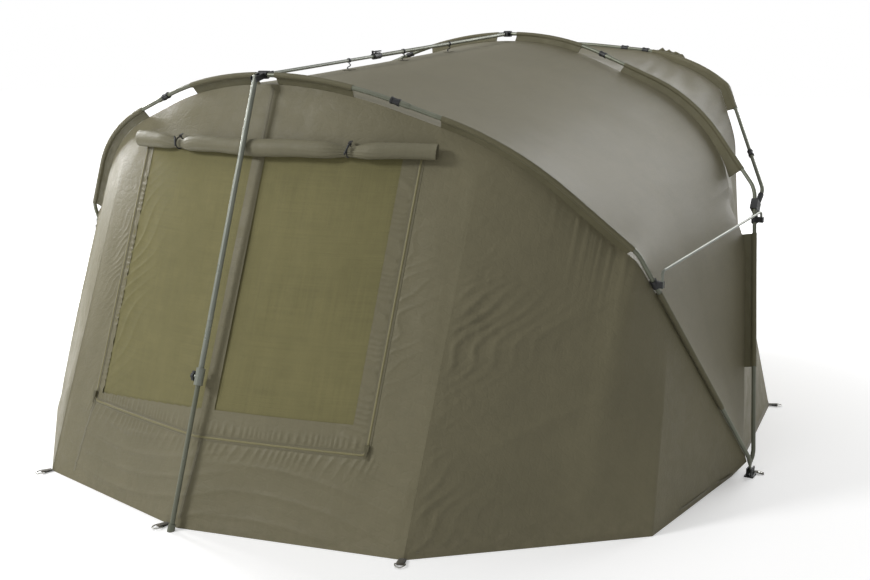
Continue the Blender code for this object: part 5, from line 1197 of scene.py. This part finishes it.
JOINT_X = {"front": 0.500, "centre": 0.510}
for rib, aside in (("front", 1), ("centre", -1)):
    line, plane, body = RIBS[rib]
    joint = length_at(line, JOINT_X[rib], 0)
    crown = piece_of(line, joint - 0.040, whole_length(line) - joint + 0.040, 0.006)
    rib_section(f"{rib}_crown_tube", crown, plane, f"{rib}_crown", body)
    for side, word in SIDES:
        flat = piece_of(line, 0.0, joint, 0.004) * [side, 1.0]
        eye = (side * (HALF_SPREAD + (BLADE + 0.00015) * aside), -AHEAD, AXIS_HEIGHT)
        rib_section(f"{rib}_leg_tube_{word}", flat, plane, f"{rib}_leg_{word}", body, eye)
rear_flat = piece_of(rear_rib, 0.056, whole_length(rear_rib) - 0.056, 0.006)
rib_section("rear_rib_tube", rear_flat, REAR, "rear_tube", "rear_rib")


# Sleeves

SLEEVE_THICK = 0.0008

for rib, seam, bare, hub, (end_s, leg_low, leg_top) in (
    ("front", FRONT_SEAM, (0.70, 1.31), (0.026, 0.050), (1.050, 0.331, 0.866)),
    ("centre", CENTRE_SEAM, (0.78, 1.23), (0.045, 0.050), (1.215, 0.397, 0.940)),
):
    line, plane, body = RIBS[rib]
    total = whole_length(line)
    top = length_at(line, JOINT_X[rib] * bare[0], 0)
    gap = (length_at(line, hub[1], 0) - top, total - length_at(line, hub[0], 0) - top)
    crown = piece_of(line, top, total - top, 0.009)
    make_sleeve(f"{rib}_sleeve_crown_cloth", crown, plane, seam, body, f"{rib}_sleeve_crown", gap)
    upper = piece_of(line, length_at(line, end_s, 1), length_at(line, JOINT_X[rib] * bare[1], 0))
    leg = piece_of(line, length_at(line, leg_low, 1), length_at(line, leg_top, 1))
    for side, word in SIDES:
        for kind, part in (("sleeve", upper), ("leg_sleeve", leg)):
            name = f"{rib}_{kind}_{word}"
            flat = (part * [side, 1.0])[::side]
            make_sleeve(f"{name}_cloth", flat, plane, seam, body, name)
end_at = length_at(rear_rib, 0.630, 1)
rear_flat = piece_of(rear_rib, end_at, whole_length(rear_rib) - end_at)
bare_from = length_at(rear_rib, 0.545, 0) - end_at
bare_to = 2 * (length_at(rear_rib, 0.0, 0) - end_at) - bare_from
gap = (bare_from, bare_to)
make_sleeve("rear_sleeve_cloth", rear_flat, REAR, REAR_SEAM, "rear_rib", "rear_sleeve", gap)


def ruffle_grid(side, rows=12, columns=70):
    """The sleeve's loose end: a frill that stands up to 24 mm off the rib and waves along it."""
    start, end = length_at(rear_rib, 0.715, 0), length_at(rear_rib, 0.560, 0)
    share = np.linspace(0.0, 1.0, columns)
    flat = stretch_of(rear_rib, start, end, share)
    v = np.linspace(0.0, 1.0, rows)[:, None]
    tall = 0.012 * smooth_step(share * 4) * smooth_step((1 - share) * 9)
    tall = 0.012 + tall * (0.8 + 0.2 * np.sin(share * 31))
    flat = flat + (0.0102 + tall * v)[..., None] * outward_of(flat)
    wave = 0.0050 * v * np.sin(share * 26 + 1.5 * v)
    return REAR.place(flat * [side, 1.0]) + wave[..., None] * REAR.back


for side, word in SIDES:
    sheet_piece(
        f"rear_sleeve_frill_{word}", ruffle_grid(side), sleeve_cloth, ("rear_rib", "sleeve_cloth"),
        thickness=SLEEVE_THICK,
    )


# Rolled storm flap with its two ties

FLAP_LEFT, FLAP_X, FLAP_Z = -0.622, 0.650, 1.215
FLAP_DEEP, FLAP_TALL, FLAP_OFF = 0.025, 0.032, 0.0010
TIE_X = 0.365


def flap_axis(x):
    """Middle of the roll at x, the way out from the wall and the way up it."""
    out = wall_normal(x, np.full_like(x, FLAP_Z))
    base = wall_point(x, np.full_like(x, FLAP_Z))
    rise = unit(base - wall_point(x, np.zeros_like(x)))
    sag = -0.004 * np.cos(x / 0.36 * math.pi) ** 2
    return base + rise * sag[:, None], out, rise


def flap_points(stations=300, steps=84, turns=1.6, pitch=0.0060, layer=0.0016):
    """The roll: a spiral of 1.6 turns carried across the wall.

    Each tie draws it in by up to 13.5 mm over a bell 50 mm wide, and pleats 3 mm high run
    out from the tie as thirteen waves round the roll; its girth swells along two sines.
    """
    x = np.linspace(FLAP_LEFT, FLAP_X, stations)
    base, out, rise = flap_axis(x)
    tie = np.minimum(np.abs(x - TIE_X), np.abs(x + TIE_X)) / 0.050
    pinch = 0.0135 * np.exp(-(tie**2))
    swell = 0.0016 * np.sin(x * 7.1 + 0.6) + 0.0009 * np.sin(x * 19.0)
    share = np.linspace(0.0, 1.0, steps + 1)
    angle = math.pi * 0.92 + 2 * math.pi * turns * share
    shrink = pitch * turns * share
    deep = (FLAP_DEEP - pinch + swell)[:, None] - shrink
    tall = (FLAP_TALL - pinch + swell)[:, None] - shrink
    waves = np.sin(13 * angle + 2 * np.sin(x * 30)[:, None])
    pleat = np.exp(-np.abs(tie) * 0.85)[:, None] * waves
    creases = 0.0010 * crumple(x[:, None] * 5, angle / 6, 51) * (1 - share)
    pleat = 0.0030 * pleat * (1 - share) + creases
    middle = base + out * (FLAP_OFF + FLAP_DEEP - pinch * 0.8)[:, None]
    rings = []
    for less in (0.0, layer):
        a = deep + pleat - less
        b = tall + pleat - less
        ring = middle[:, None] + (a * np.cos(angle))[..., None] * out[:, None]
        rings.append(ring + (b * np.sin(angle))[..., None] * rise[:, None])
    return np.concatenate([rings[0], rings[1][:, ::-1]], axis=1)


flap = closed_tube("storm_flap_roll", flap_points(), flap_cloth)
attach(flap, "front_rib", "canopy_cloth", "flap_roll")

TOGGLE = [(-0.019, 0.0002), (-0.0185, 0.0030), (-0.012, 0.0040), (-0.004, 0.0030)]
TOGGLE = TOGGLE + [(0.0, 0.0036)] + [(-along, radius) for along, radius in TOGGLE[::-1]]
ALONG_X = (1.0, 0.0, 0.0)
for side, word in SIDES:
    base, out, rise = (part[0] for part in flap_axis(np.array([side * TIE_X])))
    middle = base + out * (FLAP_OFF + FLAP_DEEP - 0.0095 * 0.8)
    angle = np.linspace(0.0, 2 * math.pi, 61)[:, None]
    ring = middle + 0.0166 * np.cos(angle) * out + 0.0216 * np.sin(angle) * rise
    points = section_along(ring, circle(0.0021, 10), ALONG_X)
    loop = closed_tube(f"flap_loop_{word}", points, elastic)
    tilt = unit(np.array([0.35 * side, 0.0, 0.0]) + rise)
    front = middle + out * 0.0205
    toggle = turned(f"flap_toggle_{word}", TOGGLE, front, tilt, black_moulding, sides=18)
    stem = np.array([rise * 0.021, rise * 0.027 + out * 0.004, rise * 0.036 - out * 0.006]) + middle
    stem = at_lengths(stem, np.linspace(0, whole_length(stem), 12))
    points = section_along(stem, circle(0.0070, 12, 0.16)[:, ::-1], ALONG_X)
    strap = closed_tube(f"flap_strap_{word}", points, elastic)
    for piece in (loop, toggle, strap):
        attach(piece, "front_rib", "black_moulding")


# Window zip: woven tape with a coil along its middle


def zip_line(step):
    """The zip's route (x, z), down from its upper left end, across the foot and up."""
    high, low = [(-WINDOW_X, WINDOW_HIGH), (WINDOW_X, WINDOW_HIGH)], WINDOW_LOW
    line = rounded([high[0], (-WINDOW_X, low), (WINDOW_X, low), high[1]], [0.016, 0.016], 12)
    return at_lengths(line, np.arange(0.0, whole_length(line), step))


def on_wall(flat, off, lift):
    """Points lift above the wall's own relief, off to one side of an (x, z) route."""
    along = unit(np.gradient(flat, axis=0))
    side = np.stack([along[:, 1], -along[:, 0]], -1)
    x = flat[:, 0] + side[:, 0] * off
    z = flat[:, 1] + side[:, 1] * off
    return wall_point(x, z) + wall_normal(x, z) * (wall_relief(x, z) + lift)[:, None]


route = zip_line(0.004)
lifts = [(off, 0.0013 + 0.0002 * (abs(off) < 0.004)) for off in np.linspace(-0.0100, 0.0100, 9)]
tape_points = np.stack([on_wall(route, off, lift) for off, lift in lifts])
place = ("front_rib", "zip_tape", "zip_tape")
sheet_piece(
    "zip_tape_cloth", tape_points, tape_cloth, place, thickness=0.0008
)
COIL_STEP, TOOTH_PITCH = 0.0009, 0.0036
route = zip_line(COIL_STEP)
spine = on_wall(route, 0.0, 0.0017)
out = wall_normal(route[:, 0], route[:, 1])
teeth = 1.0 + 0.20 * np.sin(2 * math.pi * np.arange(len(route)) * COIL_STEP / TOOTH_PITCH)
half = [(0.0, -0.0040), (0.0012, -0.0030), (0.0019, -0.0012)]
section = np.array(half + [(high, -aside) for high, aside in half[::-1]])
aside = np.cross(unit(np.gradient(spine, axis=0)), out)
coil_points = spine[:, None] + (section[:, 0] * teeth[:, None])[..., None] * out[:, None]
coil_points = coil_points + section[:, 1:2] * aside[:, None]
attach(closed_tube("zip_coil", coil_points, zip_coil_finish), "front_rib", "zip_tape")


# Hems, seams and the strip between the panes

HEM_TALL = 0.026


def hem_from(grid, lift):
    """Rows of a sheet's own lowest threads, standing a little off them."""
    low, above = grid[-1], grid[-5]
    tall = HEM_TALL / np.linalg.norm(above - low, axis=1)
    share = np.linspace(0.0, 1.0, 4)[:, None, None] * tall[None, :, None]
    rows = low[None] + (above - low)[None] * share
    return rows[::-1] + normals_of(grid)[-1] * lift


def sewn(name, grid, body):
    sheet_piece(name, grid, hem_cloth, (body, "canopy_cloth"))


sewn("hem_front", hem_from(wall_points, 0.0010), "front_rib")
for side, word in SIDES:
    corner = low_grids[f"corner_{word}"]
    sewn(f"hem_corner_{word}", hem_from(corner, 0.0010 * side), "front_rib")
    rear_side = low_grids[f"rear_side_{word}"]
    sewn(f"hem_rear_side_{word}", hem_from(rear_side, 0.0010 * side), "frame")
    edge = corner[:, 0]
    into = unit(corner[:, 2] - edge)
    normal = normals_of(corner)[:, 1] * side
    beyond = wall_point(np.full(len(edge), side * (FRONT_SEAM_X - 0.004)), edge[:, 2])
    strip = [edge + into * k + normal * 0.0016 for k in (0.011, 0.0055, 0.0)]
    strip.append(edge + unit(beyond - edge) * 0.004 + normal * 0.0012)
    sewn(f"corner_seam_{word}", np.stack(strip), "front_rib")


def wall_strip(name, x_ends, z_ends, half, lift):
    """A strip up the wall between two places, half its width to each side."""
    t = np.linspace(0.0, 1.0, 160)
    x = x_ends[0] + (x_ends[1] - x_ends[0]) * t
    z = z_ends[0] + (z_ends[1] - z_ends[0]) * t
    offs = np.linspace(-half, half, 7)[:, None]
    x, z = x + offs, z + 0 * offs
    relief = wall_relief(x, z) + lift * np.cos(offs / half * 1.2)
    sewn(name, wall_point(x, z) + wall_normal(x, z) * relief[..., None], "front_rib")


wall_top = float(wall_ends(np.array([0.026]))[0][0, 2]) - 0.012
wall_strip("wall_centre_seam", (0.026, 0.026), (1.246, wall_top), 0.007, 0.0013)
wall_strip("wall_low_seam", (0.003, 0.022), (0.030, WINDOW_LOW - 0.012), 0.006, 0.0011)
wall_strip("wall_left_seam", (-0.640, -0.604), (0.030, WINDOW_LOW - 0.014), 0.006, 0.0011)


# Pegging straps: a folded length of webbing through each ring

UP = np.array([0.0, 0.0, 1.0])
STRAP_LENGTH, STRAP_HALF, STRAP_PART, STRAP_TURN = 0.036, 0.0125, 0.00065, 0.0036


def strap_points(eye, across, away):
    """A strap that leaves the hem, turns round the ring's wire and comes back under itself."""
    angle = np.linspace(math.pi / 2, -math.pi / 2, 13)
    turn = np.stack([STRAP_TURN * np.cos(angle), STRAP_TURN * np.sin(angle)], -1)
    out = np.linspace(-STRAP_LENGTH, 0.0, 14)
    top = np.stack([out, np.linspace(STRAP_TURN * 0.2, STRAP_TURN, 14)], -1)
    home = np.linspace(0.0, -STRAP_LENGTH, 14)
    low = np.stack([home, np.linspace(-STRAP_TURN, -STRAP_TURN * 0.3, 14)], -1)
    path = np.vstack([top[:-1], turn, low[1:]])
    points = np.asarray(eye) + path[:, 0:1] * away + path[:, 1:2] * UP
    near = STRAP_HALF * 0.92
    ring = [(STRAP_PART, -near), (STRAP_PART, near), (0.0, STRAP_HALF)]
    ring = ring + [(-STRAP_PART, near), (-STRAP_PART, -near), (0.0, -STRAP_HALF)]
    return section_along(points, np.array(ring), across)


for node, eye, across in (
    ("tab_front", (-0.05250326, -1.4606041, 0.0057), (-0.97802377, 0.20849344, 0.0)),
    ("tab_right", (0.78588865, -1.30396757, 0.0057), (-0.94385836, -0.33035042, 0.0)),
    ("tab_left", (-0.78588865, -1.30396757, 0.0057), (-0.94385836, 0.33035042, 0.0)),
):
    eye, across = np.array(eye) - [0.0, AHEAD, 0.0], np.array(across)
    away = np.cross(across, UP)
    away = away if away[1] < 0 else -away
    points = strap_points(eye, across, away)
    attach(closed_tube(f"{node}_strap", points, webbing), "front_rib", "webbing", node)


# Foot straps with a grommet, and loops with rings at the rear corners

FOOT_SECTION = [(0.0009, -0.0115), (0.0009, 0.0115), (0.0, 0.0125)]
FOOT_SECTION = np.array(FOOT_SECTION + [(-0.0009, 0.0115), (-0.0009, -0.0115), (0.0, -0.0125)])
GROMMET = [(-0.0016, 0.0042), (-0.0018, 0.0078), (0.0018, 0.0078)]
GROMMET = GROMMET + [(0.0026, 0.0062), (0.0016, 0.0042)]
BOW_HALF = 0.0150
for side, word in SIDES:
    start = np.array([side * (HALF_SPREAD - 0.012), -AHEAD + 0.030, 0.0042])
    end = np.array([side * (HALF_SPREAD + 0.040), -AHEAD + 0.042, 0.0022])
    path = start + (end - start) * np.linspace(0, 1, 16)[:, None]
    path[:, 2] += 0.004 * np.sin(np.linspace(0, math.pi, 16))
    points = section_along(path, FOOT_SECTION, np.cross(UP, unit(end - start)))
    strap = closed_tube(f"foot_strap_{word}", points, webbing)
    grommet = turned(f"foot_grommet_{word}", GROMMET, path[11], UP, bright_steel, sides=28)
    corner = np.array([side * REAR_CORNER[0], REAR_CORNER[1] - AHEAD, 0.006])
    away = unit(np.array([side * 1.0, 0.30, 0.0]))
    across = np.cross(UP, away)
    eye = corner + away * 0.034
    loop = closed_tube(f"rear_loop_{word}", strap_points(eye, across, away), webbing)
    angle = np.linspace(0.0, math.pi, 25)[:, None]
    bow = eye + BOW_HALF * np.cos(angle) * across + 0.021 * np.sin(angle) * away
    bar = (across * 0.030) * np.linspace(0.1, 1.0, 9)[:, None]
    bow = np.vstack([bow, eye - across * BOW_HALF + bar])
    points = section_along(bow, circle(0.0020, 10), UP)
    ring = closed_tube(f"rear_ring_{word}", points, bright_steel)
    for piece in (strap, grommet, loop, ring):
        attach(piece, "frame", "webbing" if piece in (strap, loop) else "bright_steel")


# Black ferrules where rib sections join, and the rear rib's clips

FERRULE = [(-0.017, 0.0098), (-0.0165, 0.0122), (-0.0095, 0.0124), (-0.009, 0.0111)]
FERRULE = FERRULE + [(-along, radius) for along, radius in FERRULE[::-1]]
for side, word in SIDES:
    for name, rib, value, axis in (
        ("front_ferrule", "front", JOINT_X["front"], 0),
        ("centre_ferrule", "centre", JOINT_X["centre"], 0),
        ("rear_ferrule", "rear", 0.330, 1),
        ("rear_clip", "rear", 0.510, 0),
        ("rear_joint", "rear", 0.395, 0),
    ):
        line, plane, body = RIBS[rib]
        at = length_at(line, value, axis)
        place = plane.place(at_lengths(line, [at - 0.002, at, at + 0.002]) * [side, 1.0])
        along = place[2] - place[0]
        piece = turned(f"{name}_{word}", FERRULE, place[1], along, black_moulding, sides=28)
        attach(piece, body, "black_moulding")


# Hooks that hang the roof from the ridge bar

front_pivot = np.array([0.0, -0.88025885 - AHEAD, 1.4634874])
centre_pivot = np.array([0.0, 0.89794529 - AHEAD, 1.62438738])
axis = unit(centre_pivot - front_pivot)
over_bar = np.cross(axis, ALONG_X)
roof_middle = roof_points[:, roof_points.shape[1] // 2]
# The first hook hangs where rod meets tube: ends this far back and on along the bar are worked out
# for it, and nothing uses them
BLEND_BACK, BLEND_ON = 32.64, 67.36
CORD_RADIUS, CORD_BELOW = 0.0021, 0.011
PATCH_LONG, PATCH_WIDE = np.linspace(-0.022, 0.022, 7), np.linspace(-0.016, 0.016, 7)
for k, (share, bore) in enumerate(((0.27, 0.0067), (0.49, 0.0085), (0.70, 0.0085))):
    bar = front_pivot + (centre_pivot - front_pivot) * share
    turn = np.linspace(0.0, 2 * math.pi, 61)[:, None]
    ring = bar + (bore + 0.0012) * (np.cos(turn) * np.array(ALONG_X) + np.sin(turn) * over_bar)
    points = section_along(ring, circle(0.0011, 10, 5.0), axis)
    clip = closed_tube(f"ridge_clip_{k}", points, black_moulding)
    low = float(np.interp(bar[1], roof_middle[:, 1], roof_middle[:, 2])) + 0.002
    drop = bar[2] - CORD_BELOW - low
    t = np.linspace(0.0, 1.0, 40)
    swing = 0.006 * np.sin(t * math.pi * 2.0)
    cord = np.stack([bar[0] + swing, bar[1] + 0.3 * swing, bar[2] - CORD_BELOW - drop * t], -1)
    points = section_along(cord, circle(CORD_RADIUS, 10), ALONG_X)
    hook = closed_tube(f"ridge_hook_{k}", points, black_moulding)
    for piece in (clip, hook):
        if k:
            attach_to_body(piece, "ridge_bar")
        else:
            start, end = tuple(bar - BLEND_BACK * axis), tuple(bar + BLEND_ON * axis)
            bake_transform(piece)
    flat = np.array([[a, bar[1] + b] for b in PATCH_LONG for a in PATCH_WIDE])
    near = [int(np.argmin(((roof_points[..., :2] - spot) ** 2).sum(-1))) for spot in flat]
    high = roof_points.reshape(-1, 3)[near][:, 2] + 0.0022
    spots = np.column_stack([flat, high]).reshape(7, 7, 3)
    patch = cloth_sheet(f"ridge_patch_{k}", spots, hem_cloth, thickness=0.001)
    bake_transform(patch)
    declare_sheet(spots)


# The metal and moulded pieces keep their solids and get their finishes

SLOT_FINISH = dict(rib_paint=rib_paint, black_moulding=black_moulding, bright_steel=bright_steel)
OWN_FINISH = dict.fromkeys(("zip_slider_right", "zip_slider_left"), zip_metal)
bars = ("side_bar_right", "side_bar_left", "pole_upper", "ridge_rod")
OWN_FINISH.update(dict.fromkeys(bars, bar_paint))
for row in frame["record"]["subparts"]:
    node = frame["nodes"].get(row.get("node"))
    finish = SLOT_FINISH.get(row.get("material_slot"))
    if node is not None and finish is not None:
        node.data.materials.clear()
        node.data.materials.append(OWN_FINISH.get(row["node"], finish))


# Floor, light and camera

WHITE = (1.0, 1.0, 1.0, 1.0)
floor_material, w, shader = blank("studio_floor")
path = w.node("ShaderNodeLightPath")
place = w.node("ShaderNodeTexCoord").outputs["Object"]
reach = w.node("ShaderNodeVectorMath", {0: place}, operation="LENGTH").outputs["Value"]
glow = w.times(path.outputs["Is Camera Ray"], w.span(reach, 2.0, 4.2, 0.30, 1.0))
for key, value in {
    "Base Color": (0.86, 0.86, 0.86, 1.0), "Roughness": 0.9, "Specular IOR Level": 0.1,
    "Emission Color": WHITE, "Emission Strength": glow,
}.items():
    w.feed(shader.inputs[key], value)
floor_points = [(x, y, 0.0) for y in (-40.0, 40.0) for x in (-40.0, 40.0)]
floor = set_mesh("studio_floor", floor_points, [[0, 1, 3, 2]], smooth=False)
floor.data.materials.append(floor_material)

world = bpy.data.worlds.new("studio_world")
bpy.context.scene.world = world
world.use_nodes = True
w = Wiring(world.node_tree)
background = world.node_tree.nodes["Background"]
path = w.node("ShaderNodeLightPath").outputs
seen = w.calc("MAXIMUM", path["Is Camera Ray"], path["Is Transmission Ray"])
background.inputs["Color"].default_value = WHITE
w.feed(background.inputs["Strength"], w.span(seen, 0.0, 1.0, 0.37, 1.0))


def soft_light(name, place, target, size, energy):
    data = bpy.data.lights.new(name, "AREA")
    data.shape = "DISK"
    data.size = size
    data.energy = energy
    lamp = bpy.data.objects.new(name, data)
    bpy.context.scene.collection.objects.link(lamp)
    lamp.location = place
    lamp.rotation_euler = (Vector(target) - Vector(place)).to_track_quat("-Z", "Y").to_euler()


soft_light("top_light", (-0.8, -1.5, 6.5), (0.0, 0.0, 1.0), 5.0, 60)
soft_light("left_light", (-4.1, 0.3, 2.1), (-1.1, -0.6, 0.8), 1.5, 150)
soft_light("front_light", (-4.9, -7.0, 5.5), (0.5, -0.9, 0.7), 2.2, 400)
soft_light("sheen_light", (1.9, 5.6, 3.3), (0.9, 0.0, 1.2), 4.6, 225)

camera_data = bpy.data.cameras.new("photo_view")
camera_data.sensor_width = 36.0
camera_data.lens = 47.487
camera = bpy.data.objects.new("photo_view", camera_data)
bpy.context.scene.collection.objects.link(camera)
yaw, pitch, roll = math.radians(-30.363), math.radians(-11.4947), math.radians(0.0157)
ahead = Vector((math.sin(yaw) * math.cos(pitch), math.cos(yaw) * math.cos(pitch), math.sin(pitch)))
right = Vector((math.cos(yaw), -math.sin(yaw), 0.0))
over = right.cross(ahead)
right_rolled = right * math.cos(roll) + over * math.sin(roll)
over_rolled = over * math.cos(roll) - right * math.sin(roll)

place = Matrix((right_rolled, over_rolled, -ahead)).transposed().to_4x4()
place.translation = Vector((2.52641454, -4.06583717 - AHEAD, 1.5213872))
camera.matrix_world = place
bpy.context.scene.camera = camera
bpy.context.scene.view_settings.view_transform = "Standard"
